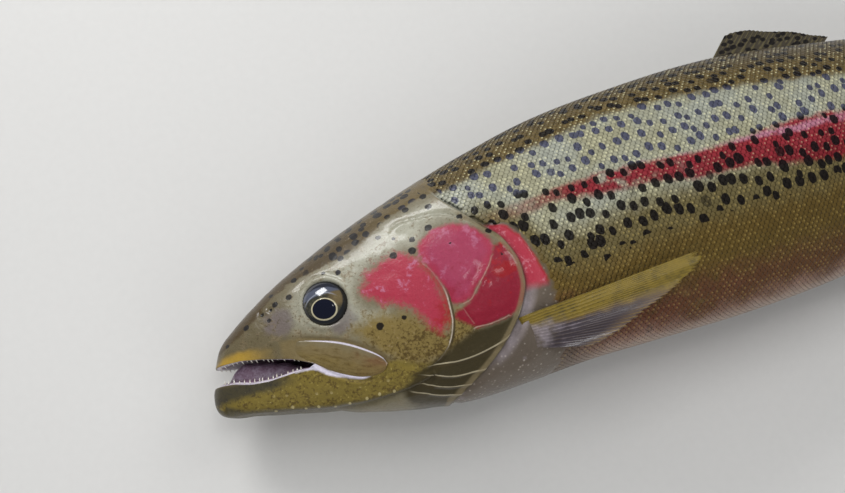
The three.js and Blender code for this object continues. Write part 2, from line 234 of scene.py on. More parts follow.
# True inside a closed side-view outline, by counting crossings
def insideOutline(x, y, outline):
    inside = np.zeros(x.shape, bool)
    pts = np.array(outline, float)
    for a, b in zip(pts, np.roll(pts, -1, 0)):
        cross = (a[1] > y) != (b[1] > y)
        at = a[0] + (y - a[1]) / np.where(b[1] == a[1], 1e-9, b[1] - a[1]) * (b[0] - a[0])
        inside ^= cross & (x < at)
    return inside


# Signed depth inside a smoothed closed outline: positive inside, in millimetres
def outlineDepth(x, y, outline):
    closed = smoothLine([*outline, outline[0]])
    d = nearestOn(x, y, closed)[0]
    return np.where(insideOutline(x, y, closed), d, -d)


# A finished mesh put into the scene as an object at the origin
def placeMesh(mesh):
    obj = bpy.data.objects.new(mesh.name, mesh)
    bpy.context.scene.collection.objects.link(obj)
    return obj


# A smooth-shaded mesh from an array of points and a list of faces
def makeMesh(name, points, faces):
    mesh = bpy.data.meshes.new(name)
    mesh.from_pydata(points.reshape(-1, 3).tolist(), [], faces)
    mesh.update()
    mesh.polygons.foreach_set("use_smooth", np.ones(len(mesh.polygons), bool))
    return placeMesh(mesh)


# One number, or three, for each vertex
def setAttribute(obj, name, values):
    kind, key = ("FLOAT_VECTOR", "vector") if np.ndim(values) > 1 else ("FLOAT", "value")
    attr = obj.data.attributes.new(name, kind, "POINT")
    attr.data.foreach_set(key, np.ascontiguousarray(values, np.float32).ravel())


# Quads of a grid of points; the rows of a closed grid run round into themselves
def gridFaces(rows, columns, closed=False, flip=False):
    i = np.arange(rows - 1)[:, None] * columns
    k = np.arange(columns if closed else columns - 1)[None, :]
    after = (k + 1) % columns
    a, b, c, d = i + k, i + after, i + columns + after, i + columns + k
    return np.stack([a, d, c, b] if flip else [a, b, c, d], -1).reshape(-1, 4)


# Rings of points made a mesh and shut at both ends by fans about each end ring's middle
def closedTube(name, world):
    rings, around = world.shape[:2]
    points = np.concatenate([world.reshape(-1, 3), world[0].mean(0)[None], world[-1].mean(0)[None]])
    first = rings * around
    k = np.arange(around)
    rearBase = first - around
    frontCap = np.stack([np.full(around, first), (k + 1) % around, k], -1)
    rearCap = np.stack([np.full(around, first + 1), rearBase + k, rearBase + (k + 1) % around], -1)
    tube = gridFaces(rings, around, closed=True)
    return makeMesh(name, points, tube.tolist() + frontCap.tolist() + rearCap.tolist())


# Landmarks of the head, in side-view millimetres
head = {
    "upperLip": [(-2, -4.2), (1, -4.6), (10.5, -6.3), (19, -9), (32, -13.8), (38, -17.4), (41.5, -19.6)],
    "lowerLip": [(41.5, -19.6), (38, -20.6), (30, -20.2), (20, -19.8), (11, -18), (4, -14.9),
                 (-3, -13.2), (-6, -13.4)],
    "gillEdge": [(112, 47.9), (114, 41), (118, 31), (124, 21), (131, 11), (136, 4), (139.4, -7),
                 (139.4, -15), (138, -21), (132.5, -29.8), (124.7, -38), (115.5, -45), (104, -51),
                 (94, -55.4)],
    "eye": (54.2, 4.7), "eyeOpening": 9.5,
}
grid = {"around": 240, "headRings": 168, "trunkRings": 136, "throatRings": 22}


# Where the two lips cross the body's surface, as (s, angle) pairs from the front to the corner
def lipStations():
    out = []
    for key, first in (("upperLip", -1.95), ("lowerLip", -2.72)):
        line = np.array(sorted(head[key]))
        corner = head["upperLip"][-1][0]
        s = first + (corner - first) * np.linspace(0, 1, 400) ** 2
        x = s.copy()
        for _ in range(12):
            h = np.interp(x, line[:, 0], line[:, 1])
            x = s + leanOf(s, h)
        angle = angleAt(s, h)
        angle[0] = 0 if key == "upperLip" else np.pi
        out.append((s, angle))
    return out


# Columns of numbers read again at even steps of the length along a row of points
def evenSteps(points, columns, count):
    run = np.concatenate([[0], np.cumsum(np.linalg.norm(np.diff(points, axis=0), axis=1))])
    at = np.linspace(0, run[-1], count)
    return [np.interp(at, run, column) for column in columns]


# Points at even spacing along a surface curve given as (s, angle)
def evenAlong(s, angle, count):
    return evenSteps(sectionPoint(s, angle), (s, angle), count)


# Equal-arc angles of a section at many stations, for columns from the back to the belly
halfCount = grid["around"] // 2 + 1
tableStations = np.concatenate([np.linspace(-2.6, 20, 30), np.linspace(22, body["hypuralEnd"], 140)])
tableAngles = np.linspace(0, np.pi, 361)


# Running length of each section's arc, read off at equal steps and from the lateral line
def buildTables():
    s = np.repeat(tableStations[:, None], len(tableAngles), 1)
    p = sectionPoint(s, np.repeat(tableAngles[None], len(tableStations), 0))
    run = np.cumsum(np.linalg.norm(np.diff(p, axis=1), axis=2), 1)
    run = np.concatenate([np.zeros((len(run), 1)), run], 1)
    even = np.array([np.interp(np.linspace(0, r[-1], halfCount), r, tableAngles) for r in run])
    lineAngle = angleAt(tableStations, np.minimum(lateralAt(tableStations), topAt(tableStations) - 2))
    lineRun = np.array([np.interp(a, tableAngles, r) for a, r in zip(lineAngle, run)])
    return lineRun[:, None] - run, even


arcTable, evenTable = buildTables()


# The table station before a place, and the share of the way on to the next
def tableRow(s):
    i = np.clip(np.searchsorted(tableStations, s) - 1, 0, len(tableStations) - 2)
    return i, np.clip((s - tableStations[i]) / (tableStations[i + 1] - tableStations[i]), 0, 1)


# Bilinear reading of a table at a station and a column with its fraction
def readTable(table, s, column):
    i, t = tableRow(s)
    j = np.clip(column, 0, table.shape[1] - 1.001)
    j0 = j.astype(int)
    f = j - j0
    row = lambda r: table[r, j0] * (1 - f) + table[r, j0 + 1] * f
    return row(i) * (1 - t) + row(i + 1) * t


# Arc distance from the lateral line, positive towards the back
def arcAt(s, angle):
    s, angle = np.broadcast_arrays(s, np.abs(angle))
    return readTable(arcTable, s, angle / np.pi * (len(tableAngles) - 1))


# The arcs at which a section meets the back's and the belly's midlines
def arcEnds(s):
    return np.interp(s, tableStations, arcTable[:, 0]), np.interp(s, tableStations, arcTable[:, -1])


# The angle of an equal-arc column at a station
def evenAngle(s, column):
    i, t = tableRow(s)
    return evenTable[i, column] * (1 - t) + evenTable[i + 1, column] * t


# Side-view lines and outlines of the head's plates and markings
plates = {
    "maxillaTop": [(29, -6.2), (33, -5.8), (40.6, -8.2), (50.8, -12.5), (58.5, -17.1), (65.7, -23.1),
                   (69.7, -27.5), (71, -31)],
    "maxillaLow": [(29, -9), (32.5, -13.4), (39.5, -18.4), (46.7, -24.8), (52.2, -29), (58, -32.2),
                   (64.4, -33.8), (69, -33.4), (71, -31)],
    "preopercle": [(94, 13), (98.5, 5.8), (101, 2), (103.2, -4.6), (104.3, -10.7), (104, -16.8),
                   (103.1, -23.6), (100.4, -30), (96.9, -34.4), (91, -38), (84, -39.6)],
    "opercleTop": [(88, 21), (94.4, 26.6), (104.9, 26.2), (114.6, 24.3), (122, 19.2), (128.9, 12.3),
                   (134, 4.5)],
    "subopercle": [(131.3, 1.5), (127.2, -5), (122.7, -9.6), (117.1, -14.7), (113.2, -17.9),
                   (104.6, -18.4)],
    "interopercle": [(109, -18.6), (110.5, -24), (112.4, -29.6)],
    "subLow": [(110, -31.8), (111.8, -30), (118, -30.6), (125.1, -30.3), (130.6, -29.2)],
    "jawRidge": [(-1, -25), (6, -29), (16, -32.2), (30, -36.2), (44, -40.2), (58, -42.9), (70, -44.2),
                 (80, -44.2), (88, -43)],
    "jawRear": [(78, -34.5), (84, -37.5), (88, -41.5), (87, -45)],
    "lipFold": [(41, -19), (46, -25.4), (52, -30.2), (58, -33.6), (65, -35.4), (73, -35.6), (80, -37)],
}
branchRays = [
    [(95, -39.6), (101, -40.6), (108.5, -40.8), (119.5, -39.4), (127.6, -36.2), (131.6, -31)],
    [(91, -43.6), (96, -45.6), (102, -46.8), (112.5, -47.5)],
    [(87, -46.4), (92, -48.6), (98, -50.2), (107, -51.4)],
    [(84, -48.6), (89, -50.8), (93.5, -52.2), (101, -53.5)],
]
blush = {
    "cheek": [(70.4, 3), (76.3, 10.2), (85, 13), (93, 12.6), (98, 6.4), (102.5, -4.2), (103.6, -14),
              (102, -21.6), (98, -26.5), (94.5, -23), (89.5, -14), (82.5, -8.2), (75, -4)],
    "opercle": [(101, 2), (100.2, 12.6), (108.7, 18), (117, 18), (124.6, 13.8), (129.4, 7.5), (131, 1.4),
                (127.2, -5), (122.7, -9.6), (117.1, -14.7), (112, -17.6), (105.4, -16.5), (104.4, -8)],
    "sub": [(131.6, 1.4), (127.6, -5), (122.9, -9.6), (117.4, -14.8), (112.6, -18.6), (105, -21.5),
            (107.5, -25), (112.4, -29.6), (118, -30.3), (125.5, -30.2), (132.4, -28), (137, -22),
            (139, -14), (138.6, -6), (135.6, 1)],
    "shoulder": [(129.4, 13.4), (134.6, 11.6), (139.7, 9.3), (143.6, 3.8), (146.2, -3.3), (148.2, -10.3),
                 (149.4, -17.5), (150, -23.8), (149.6, -27), (145.6, -28.9), (138.9, -30.3),
                 (133.2, -31.6), (130, -28), (128, -10), (128, 4)],
    "throat": [(149, -27), (143, -29), (134, -30), (122, -40), (108, -50), (92, -60), (120, -62),
               (140, -60), (147, -53), (150, -45), (151, -34)],
}


# Where the colours lie, in side-view millimetres
zoneLines = {
    "backDark": [(98, 33.5), (111, 36.8), (124, 35.4), (151, 40.7), (177, 42.9), (204, 46.2),
                 (228, 44.4), (253, 41.3), (277, 37.4), (302, 33), (323, 29.7), (380, 22), (440, 16),
                 (500, 13), (557, 12)],
    "stripeTop": [(150, 17), (171, 19.2), (190, 18), (213, 15.8), (237, 12.9), (264, 13.3), (291, 13.1),
                  (312, 10.7), (400, 7.5), (480, 5), (557, 4)],
    "stripeLow": [(150, 10), (167, 11.5), (185, 7.7), (209, 5.5), (232, 0.4), (256, -2), (281, -7),
                  (301, -11.7), (330, -13), (400, -10), (480, -6.5), (557, -5)],
    "spotLimit": [(110, 8), (135, 3), (147, -3.6), (156, -17), (174, -20), (195, -17.5), (215, -17),
                  (245, -18), (265, -18.5), (286, -19.8), (400, -14), (480, -11), (557, -12)],
    "goldLow": [(110, -30), (140, -31), (169, -36), (187, -42), (217, -42.5), (247, -43.7), (268, -44.4),
                (289, -46), (350, -40), (420, -31), (500, -21), (557, -20)],
    "headTop": [(-4, -1.5), (4, 0.6), (20, 7.6), (32, 15.4), (43, 19), (58, 21.2), (70, 22.5),
                (80.5, 26), (90, 31), (100, 33.4), (111, 36.8), (124, 35.4), (151, 40.7)],
    "goldSnout": [(-6, -9.0), (0, -6.6), (8, -5.4), (17, -6.6), (26, -9.2), (36, -11.5)],
}
headPatches = {
    "maxillaArea": [(30, -5.5), (40.6, -7.2), (51, -11.6), (59.5, -16.4), (66.6, -22.6), (71.4, -28),
                    (72, -33), (65, -35.5), (56, -33), (46, -26), (38, -18.5), (30, -13.5)],
    "jaw": [(-7, -12.5), (10, -17.2), (28, -19.6), (41, -19.8), (46.5, -25.8), (53, -31), (61, -34),
            (68, -33), (74, -31), (84, -36), (93, -39.5), (88, -43.2), (80, -44.6), (70, -45), (58, -44),
            (44, -41.6), (30, -38), (16, -34.4), (4, -31), (-10, -26)],
    "lipWhiteAndHighlight": [(31, -19.6), (38, -19.0), (41.5, -19.6), (46, -24.6), (53, -28.8), (62.5, -32.9),
                 (59, -33.3), (52.8, -30.5), (46, -26.8), (40, -21.8), (33, -20.6)],
    "goldCheek": [(62, -12), (72, -9), (80, -11), (88, -15), (94, -23), (99, -26.4), (103, -22),
                  (108, -19), (113, -24), (113, -31), (103, -36), (92, -38.5), (78, -36.4), (73, -31),
                  (67, -23)],
    "branch": [(86, -38), (94, -36), (104, -32.6), (113, -30.8), (125, -30.6), (134, -27.6), (137, -24),
               (131, -32), (124, -39), (115, -45.6), (104, -51.6), (92, -56), (80, -53), (74, -45),
               (80, -40)],
    # the pale patch over the nape, the upper cheek and about the eye: mostly painted sheen of the sky in the
    # wet skin, partly its own silver
    "pale": [(36, 9), (44, 15.6), (58, 19.6), (70, 20.8), (80, 24.4), (90, 29.5), (100, 31.5), (112, 33),
             (122, 26), (130, 16), (126, 14), (117, 19.4), (108, 19.6), (99, 14), (90, 14.4), (76, 11.4),
             (69, 4), (70, -4), (80, -9), (76, -16), (66, -12), (52, -8.4), (40, -4), (34, 0)],
}
# spots of the head: place and radius
headSpots = [(73, -14.8, 1.9), (89, 13.3, 1.9), (97.4, 12.3, 2.0), (40.2, 13, 1.7), (64.1, 15.4, 1.5),
             (17.9, 7.2, 1.7), (7.4, 2.7, 1.3), (76, 26.4, 2.0), (67.2, 21.6, 1.8), (44.9, 20.2, 1.7),
             (84, -14.9, 1.3), (107.9, 20, 1.9), (99.3, 17.2, 1.7), (122.2, 27.5, 1.9), (102.2, 33, 1.8),
             (33.3, 12.3, 1.5), (28.6, 6.2, 1.2), (131.7, 8.8, 1.7), (127.6, 23.5, 2.1),
             (136.2, 15.3, 2.0), (122.3, 19.7, 1.7), (90, 36.5, 2.1), (104, 43, 2.0), (60, 27, 1.6),
             (33, 17.5, 1.4), (81, 32, 1.6), (112, 30.2, 1.9), (50, 24.5, 1.3), (70, 31.5, 1.6),
             (97, 39.5, 1.8), (112, 36.4, 2.0), (117, 41.2, 2.1), (86, 24.4, 1.4), (24, 16, 1.2),
             # the two at (26.3, 10.6) and (30.6, 10.9) paint the nostrils' holes dark: painted shade
             (14, 9.6, 1.0), (26.3, 10.6, 1.1), (30.6, 10.9, 0.9), (114, 9, 0.9), (133.5, -3, 0.9),
             (92, 21, 1.1), (58, 17.6, 1.1)]


# Which of the gill skin's rays a point lies at, counted downwards: 0 at the first ray, 1 at the second,
# and between them the share of the way across; each ray is carried on past both ends
def rayCount(x, h):
    away = []
    for ray in branchRays:
        p = np.array(ray, float)
        reach = [p[:1] + (p[:1] - p[1:2]) * 2.5, p, p[-1:] + (p[-1:] - p[-2:-1]) * 2.5]
        away.append(lineField(x, h, [tuple(q) for q in np.concatenate(reach)])[0])
    count = np.clip(-away[-1] / 5, 0, 1) - np.clip(away[0] / 5, 0, 1)
    for upper, lower in zip(away[:-1], away[1:]):
        gap = lower - upper
        count = count + np.clip(-upper / np.where(np.abs(gap) < 0.01, 0.01, gap), 0, 1)
    return count


# What the markings need at each point: signed distances in millimetres to lines and into patches
def markings(obj, x, h, s, arc, angle, scaled):
    near = x < 165

    def onHead(field, far):
        out = np.full(x.shape, far)
        out[near] = field(x[near], h[near])
        return out
    patch = lambda outline: onHead(lambda px, ph: outlineDepth(px, ph, outline), -30.0)
    gap = lambda line: onHead(lambda px, ph: lineField(px, ph, line)[0], 30.0)

    # distance to a seam, pushed away past the seam's ends so that it tapers out there
    def seamField(px, ph, line):
        d, along = lineField(px, ph, line)
        ends = smooth(along, 0.0, 0.12) * (1 - smooth(along, 0.88, 1.0))
        return d + np.where(d < 0, -30.0, 30.0) * (1 - ends)
    seam = lambda line: onHead(lambda px, ph: seamField(px, ph, line), 30.0)

    # up to three fields kept as one attribute
    def put(key, *fields):
        setAttribute(obj, key, np.stack([*fields, *[np.zeros(x.shape)] * (3 - len(fields))], -1))
    at = lambda key: np.interp(s, *zip(*zoneArcs[key]))
    high, _ = arcEnds(s)
    side = np.sign(angle)
    # the two sides' patterns meet along the back, then slide apart
    put("lay", s + side * 5.5 * smooth(high - arc, 0, 18), arc)
    inStripe = np.minimum(at("stripeTop") - arc, arc - at("stripeLow"))
    put("zoneA", arc - at("backDark"), inStripe, arc - at("goldLow"))
    put("zoneB", arc - at("spotLimit"), scaled, np.abs(np.abs(angle) - np.pi) * widthAt(s))
    put("blushA", *[patch(blush[key]) for key in ("cheek", "opercle", "sub")])
    spot = np.full(x.shape, 9.0)
    here = sectionPoint(s[near], np.abs(angle[near]))
    for cx, cy, r in headSpots:
        centre = surfaceAt(np.array([cx]), np.array([cy]), 0.0, 1)
        spot[near] = np.minimum(spot[near], np.linalg.norm(here - centre, axis=-1) / r)
    rays = onHead(rayCount, -1.0)
    put("blushB", patch(blush["shoulder"]), spot)
    put("edgesA", seam(plates["preopercle"]), seam(plates["subopercle"]), rays)
    put("edgesB", gap(head["gillEdge"]), gap(zoneLines["headTop"]))
    put("headA", *[patch(headPatches[key]) for key in ("maxillaArea", "jaw", "lipWhiteAndHighlight")])
    put("headB", *[patch(headPatches[key]) for key in ("goldCheek", "branch", "pale")])
    put("headC", gap(zoneLines["goldSnout"]), seam(plates["interopercle"]), seam(plates["subLow"]))
    put("headD", gap(plates["jawRidge"]), h)


# The trunk's zone lines as arcs from the lateral line
def arcsOf(line):
    p = np.array(line, float)
    s = np.linspace(p[0, 0], p[-1, 0], 160)
    h = np.interp(s, p[:, 0], p[:, 1])
    return list(zip(s, arcAt(s, angleAt(s, h))))


trunkLines = ("backDark", "stripeTop", "stripeLow", "spotLimit", "goldLow")
zoneArcs = {key: arcsOf(zoneLines[key]) for key in trunkLines}


# Distance from a place
def ring(x, y, cx, cy):
    return np.hypot(x - cx, y - cy)


# A bell: 1 at no distance, falling away over the width
def bump(d, width):
    return np.exp(-(d / width) ** 2)


# The eye's socket: the swelling about it, its depth, and ridges as (distance out from the opening, width,
# height), of which the folds lie below and behind it only
socket = {
    "swelling": (18, 0.5), "depth": 6.5,
    "rims": [(1.2, 1.1, 0.45), (3.2, 1.0, -0.22)], "folds": [(4.4, 1.1, 0.3), (6.2, 0.9, -0.3)],
}
# round swellings and pits of the head as (x, h, width, height)
swellings = {
    "frontNostril": (26.2, 10.6, 1.15, -1.5), "rearNostril": (30.2, 10.9, 0.9, -1.2),
    "nostrilFlap": (28.3, 10.6, 1.1, 0.7), "cheekMuscle": (86, -6, 13, 0.9),
}
# creases along a line: where along it they set in and die away, and ridges as (offset to its left, width,
# height); the last are the fan of rays that carries the gill skin
creases = [
    (plates["lipFold"], (0, 0.1), (0.7, 0.95), [(0, 0.7, -0.6)]),
    (plates["lipFold"], (-1, 0), (0.45, 0.7), [(-1.5, 0.9, 0.4)]),
    (plates["jawRidge"], (-1, 0), (1, 2), [(1.2, 1.4, 0.5), (-0.8, 1.0, -1.1)]),
    (plates["jawRear"], (-1, 0), (1, 2), [(0, 0.8, -0.4)]),
    *[(ray, (0, 0.15), (0.92, 1), [(0, 0.65, 0.5), (-1.3, 0.8, -0.55), (1.6, 1.0, 0.2)])
      for ray in branchRays],
]
# seams between the gill cover's bones and their depths
boneSeams = {"subopercle": 0.4, "interopercle": 0.3, "subLow": 0.4}


# How far the skin stands out from the body's outline: the sum of bells (height * exp(-(distance / width)^2))
# about places and lines of the head, and of steps across the edges of its plates
def relief(x, h):
    eyeX, eyeY = head["eye"]
    opening = head["eyeOpening"]
    out = np.zeros_like(x)
    onHead = 1 - smooth(x, 150, 160)
    # the opening is a little wider than tall
    r = ring(x, (h - eyeY + 0.5) * 0.93 + eyeY, eyeX, eyeY)
    out += socket["swelling"][1] * bump(r, socket["swelling"][0])
    behindEye = bump(np.arctan2(h - eyeY, x - eyeX) + 0.75, 0.75)
    for key, where in (("rims", 1), ("folds", behindEye)):
        for offset, width, height in socket[key]:
            out += height * bump(r - opening - offset, width) * where
    out -= socket["depth"] * (1 - smooth(r, opening - 0.9, opening + 0.35))
    for cx, cy, width, height in swellings.values():
        out += height * bump(ring(x, h, cx, cy), width)
    # hollow under the eye and bony brow
    out -= 0.5 * bump(ring(x, h * 1.4, 60, -14), 7)
    out += 0.4 * bump(h - 16 - (x - 50) * 0.1, 3.0) * bump(x - 56, 18)
    # bed of the maxilla: a groove along its upper edge and a sunk floor under it
    top, _ = lineField(x, h, plates["maxillaTop"])
    bedDepth = outlineDepth(x, h, plates["maxillaTop"] + plates["maxillaLow"][::-1][1:])
    out -= 0.75 * bump(top - 0.5, 0.8) * smooth(x, 34, 42)
    out += 0.15 * bump(top - 2.4, 1.4)
    out -= 1.3 * smooth(bedDepth, -0.2, 1.2) * smooth(x, 32, 44)
    for line, setsIn, diesAway, ridges in creases:
        d, along = lineField(x, h, line)
        strength = smooth(along, *setsIn) * (1 - smooth(along, *diesAway))
        out += strength * sum(height * bump(d - offset, width) for offset, width, height in ridges)
    # cheek plate's free edge: raised before the line, stepped down behind it
    pre, alongPre = lineField(x, h, plates["preopercle"])
    strength = smooth(alongPre, 0.0, 0.3) * (1 - 0.5 * smooth(alongPre, 0.85, 1.0))
    front = smooth(-pre, -0.25, 0.25)
    out += strength * (front * 0.5 * bump(pre, 2.6) - (1 - front) * 0.75 * bump(pre, 2.4))
    # upper fold of the gill cover
    cover, alongCover = lineField(x, h, plates["opercleTop"])
    strength = smooth(alongCover, 0.02, 0.25)
    below = smooth(-cover, -0.3, 0.3)
    out += strength * (below * 0.6 * bump(cover, 2.8) - (1 - below) * 0.9 * bump(cover, 1.6))
    for key, size in boneSeams.items():
        d, along = lineField(x, h, plates[key])
        ends = smooth(along, 0, 0.1) * (1 - smooth(along, 0.9, 1))
        out += ends * (-size * bump(d, 0.6) + 0.6 * size * bump(np.abs(d) - 1.3, 0.9))
    out += 0.5 * smooth(outlineDepth(x, h, blush["opercle"]), 0, 8)
    out += 0.35 * smooth(outlineDepth(x, h, blush["sub"]), 0, 7)
    # low ripples of flesh
    out += 0.14 * softNoise(x, h, 7.0, 3) + 0.07 * softNoise(x, h, 3.1, 4)
    return out * onHead


# The fleshy pad that carries the pectoral fin: from a place down the line of the fin's root
finPad = {"s": 131, "h": -32, "back": 6, "down": 15, "width": 4.5, "height": 1.5}


# Relief behind the gill opening: the shoulder band a little raised, and a bell about the pad's line
def shoulderRelief(x, h):
    band = outlineDepth(x, h, blush["shoulder"])
    t = np.clip(((x - finPad["s"]) - (h - finPad["h"]) * 2.2) / 40.0, 0, 1)
    away = ring(x, h, finPad["s"] + finPad["back"] * t, finPad["h"] - finPad["down"] * t)
    pad = finPad["height"] * bump(away, finPad["width"])
    return 0.45 * smooth(band, -0.6, 1.2) * smooth(x, 118, 126) + pad


# 1 where scales cover the body: behind the gill opening and off the smooth skin of the shoulder and throat
def coatCover(x, h):
    out = np.ones(x.shape)
    near = x < 200
    px, ph = x[near], h[near]
    behindEdge = lineField(px, ph, head["gillEdge"])[0]
    bare = outlineDepth(px, ph, blush["shoulder"])
    throat = outlineDepth(px, ph, blush["throat"])
    # smooth skin reaches further back under the throat than at the nape
    margin = 1.5 + 4.0 * smooth(-ph, -20, 0)
    out[near] = smooth(np.minimum(np.minimum(behindEdge - margin, -bare - 0.8), -throat), -0.8, 0.8)
    return out


# The gill cover: how far its edge stands out, the rings' plain spacing behind it where it lies close, and
# the fold of its free edge as (back along the body, out from it) for each ring
gillCover = {
    "standsOut": 0.75, "ringStep": 0.45,
    "fold": [(0.15, 0.62), (0.42, 0.2), (0.2, -0.25), (-1.2, -0.7), (-3.6, -1.1), (-4.8, -1.6),
             (-4.2, -2.2), (-1.8, -2.2), (0.6, -1.9), (2.6, -1.3), (4.6, -0.6), (7.0, 0.0)],
}


# The skin's rings: from the throat out over the lips, back over the head to the gill opening,
# under the gill cover's edge, out along the trunk and closed at the tail stalk
def skinRings():
    lips = lipStations()
    upper = evenAlong(*lips[0], halfCount // 2 + 1)
    lower = evenAlong(lips[1][0][::-1], lips[1][1][::-1], halfCount // 2 + 1)
    lipS = np.concatenate([upper[0], lower[0][1:]])
    lipA = np.concatenate([upper[1], lower[1][1:]])
    edge = smoothLine(head["gillEdge"], 10)
    gillS, gillA = evenAlong(edge[:, 0], angleAt(edge[:, 0], edge[:, 1]), halfCount)
    gillA[0], gillA[-1] = 0, np.pi
    column = np.arange(halfCount)
    # how far the gill cover stands free: nothing at the nape, all along its edge, little at the isthmus
    free = smooth(gillA, 0.55, 1.05) * (1 - 0.55 * smooth(gillA, 2.7, np.pi))

    rows = []
    flat, whole = np.zeros(halfCount), np.ones(halfCount)
    for ti in np.linspace(0, 1, grid["headRings"]) ** 1.08:
        swing = 1 - (1 - ti) ** 2.4
        lift = smooth(ti, 0.94, 1.0) * gillCover["standsOut"] * free
        rows.append((lipS + (gillS - lipS) * ti, lipA + (gillA - lipA) * swing, lift, flat))
    fold = gillCover["fold"]
    for k, (back, out) in enumerate(fold, 1):
        s = gillS + gillCover["ringStep"] * k * (1 - free) + back * free
        rows.append((s, gillA, out * free, whole * k / (len(fold) + 1)))
    startS, startA = rows[-1][0], rows[-1][1]
    for ti in np.linspace(0, 1, grid["trunkRings"])[1:]:
        s = startS + (body["hypuralEnd"] - startS) * ti
        even = evenAngle(s, column)
        rows.append((s, startA + (even - startA) * smooth(ti, 0, 0.3), flat, whole))
    return rows


# A whole ring from its left half: columns run down the left side and back up the right
def mirrored(half):
    return np.concatenate([half, half[..., -2:0:-1]], -1)


# The mouth's lining narrows to the throat, as (s, h), and is shut a little behind it; its roof and its
# floor are arched away, and the gums swell over both jaws
mouth = {
    "throat": (58.0, -22.0), "throatHalf": (6.0, 7.5), "end": 61.0,
    "roof": 4.2, "floor": 2.4, "upperGum": 0.9, "lowerGum": 1.9,
}


# The skin's point = section point + normal * (stand-off of the gill cover + inset + relief);
# the mouth's lining runs on from the lips as their straight path to the throat, arched and ridged
def makeSkin():
    around = grid["around"]
    rows = skinRings()
    evenGill = rows[grid["headRings"] - 1][1]
    s, a, out, behind = [mirrored(np.array(column)) for column in zip(*rows)]
    sign = np.concatenate([np.ones(halfCount), -np.ones(around - halfCount)])
    a = a * sign
    base = sectionPoint(s, a)
    x, h = base[..., 0], base[..., 1]
    normal = sectionNormal(s, a)
    scaled = coatCover(x, h) * (behind > 0.7)
    inset = -0.15 - (body["skinInset"] - 0.15) * scaled
    carve = np.where(behind > 0, shoulderRelief(x, h) * (behind > 0.9), relief(x, h))
    p = base + normal * (out + inset + carve)[..., None]

    # mouth lining: from the lips in over the gums, along the palate and the floor, and shut at the throat
    lip = p[0]
    aroundAngle = mirrored(np.linspace(0, np.pi, halfCount)) * sign
    (atS, atH), (halfH, halfW) = mouth["throat"], mouth["throatHalf"]
    throat = np.stack([atS + 0 * aroundAngle, atH + halfH * np.cos(aroundAngle),
                       halfW * np.sin(aroundAngle)], -1)
    t = np.linspace(0, 1, grid["throatRings"] + 1)[1:, None, None] ** 1.25
    upperSide = np.cos(aroundAngle)[None, :, None]
    path = lip[None] * (1 - t) + throat[None] * t
    arch = np.sin(np.pi * np.clip(t, 0, 1)) * (1 - 0.3 * t)
    gum = smooth(t, 0, 0.12)
    path[..., 1] += (arch * np.where(upperSide > 0, mouth["roof"], mouth["floor"]) * upperSide)[..., 0]
    ridge = smooth(t, 0, 0.055) * (1 - smooth(t, 0.11, 0.26))
    onLower = smooth(-upperSide[..., 0], -0.1, 0.35)
    path[..., 1] += ridge[..., 0] * (mouth["lowerGum"] * onLower - mouth["upperGum"] * (1 - onLower))
    path[..., 0] += (2.2 * gum * (1 - t))[..., 0]
    inwards = np.sign(path[..., 2]) * np.minimum(np.abs(path[..., 2]) * 0.5, 1.9)
    path[..., 2] -= inwards * (gum * (1 - t))[..., 0]
    # soft folds of the palate and gums
    path[..., 1] += 0.25 * np.sin(path[..., 0] * 1.3) * arch[..., 0]
    lining = path[::-1]
    end = np.linspace(0.9, 0.06, 5)[:, None, None]
    tail = p[-1][None] * end + np.array([body["hypuralEnd"] + 1.5, 0, 0])[None, None] * (1 - end)
    shut = np.linspace(0.1, 0.75, 4)[:, None, None]
    throatShut = throat[None] * shut + np.array([mouth["end"], atH, 0])[None, None] * (1 - shut)
    allRings = np.concatenate([throatShut, lining, p, tail])
    obj = closedTube("skin", toWorld(allRings, least=body["floorGap"] + 0.35))
    # the same fields for every ring, the inner ones marked as mouth
    padFront = len(throatShut) + len(lining)

    # a field of the outer rings carried on over the rings before and after them
    def spread(f, front, rear=None):
        after = np.repeat(f[-1:], len(tail), 0) if rear is None else np.full((len(tail), around), rear)
        full = np.concatenate([np.full((padFront, around), front), f, after])
        return np.concatenate([full.ravel(), [front, full[-1].mean()]])
    sAll, aAll = spread(s, 20.0), spread(a, 1.5)
    xAll, hAll = spread(x, -200.0), spread(h, -200.0)
    markings(obj, xAll, hAll, sAll, arcAt(sAll, aAll), aAll, spread(scaled, 0.0, 1.0))
    inside = np.concatenate([np.ones((padFront, around)), np.zeros((len(s) + len(tail), around))])
    inside[padFront - 1] = 0.55
    inside[padFront] = 0.12
    setAttribute(obj, "inside", np.concatenate([inside.ravel(), [1.0, 0.0]]))
    standsFree = mirrored(smooth(evenGill, 0.6, 1.0))
    under = spread(np.where((behind > 0.2) & (behind < 0.66), 1.0, 0.0) * standsFree, 0.0, 0.0)
    setAttribute(obj, "under", under)
    return obj


# A place on the body's surface from its side view: (x, h), how far out from it, and the side
# (1 left, -1 right)
def surfaceAt(x, h, out, side):
    x, h, out = np.broadcast_arrays(np.asarray(x, float), np.asarray(h, float), np.asarray(out, float))
    s = stationOf(x, h)
    a = angleAt(s, h)
    p = sectionPoint(s, a) + sectionNormal(s, a) * out[..., None]
    p[..., 2] *= side
    return p


# A sheet with two faces closed round its rim: (rows, columns, 3) points of each face
def closedSheet(name, front, rear):
    rows, columns = front.shape[:2]
    n = rows * columns
    top = gridFaces(rows, columns)
    under = gridFaces(rows, columns, flip=True) + n
    rim = np.concatenate([np.arange(columns), np.arange(1, rows) * columns + columns - 1,
                          (rows - 1) * columns + np.arange(columns - 1)[::-1],
                          np.arange(rows - 1)[:0:-1] * columns])
    nxt = np.roll(rim, -1)
    wall = np.stack([rim, rim + n, nxt + n, nxt], -1)
    obj = makeMesh(name, np.concatenate([front.reshape(-1, 3), rear.reshape(-1, 3)]),
                   np.concatenate([top, under, wall]).tolist())
    obj.data.validate()
    return obj


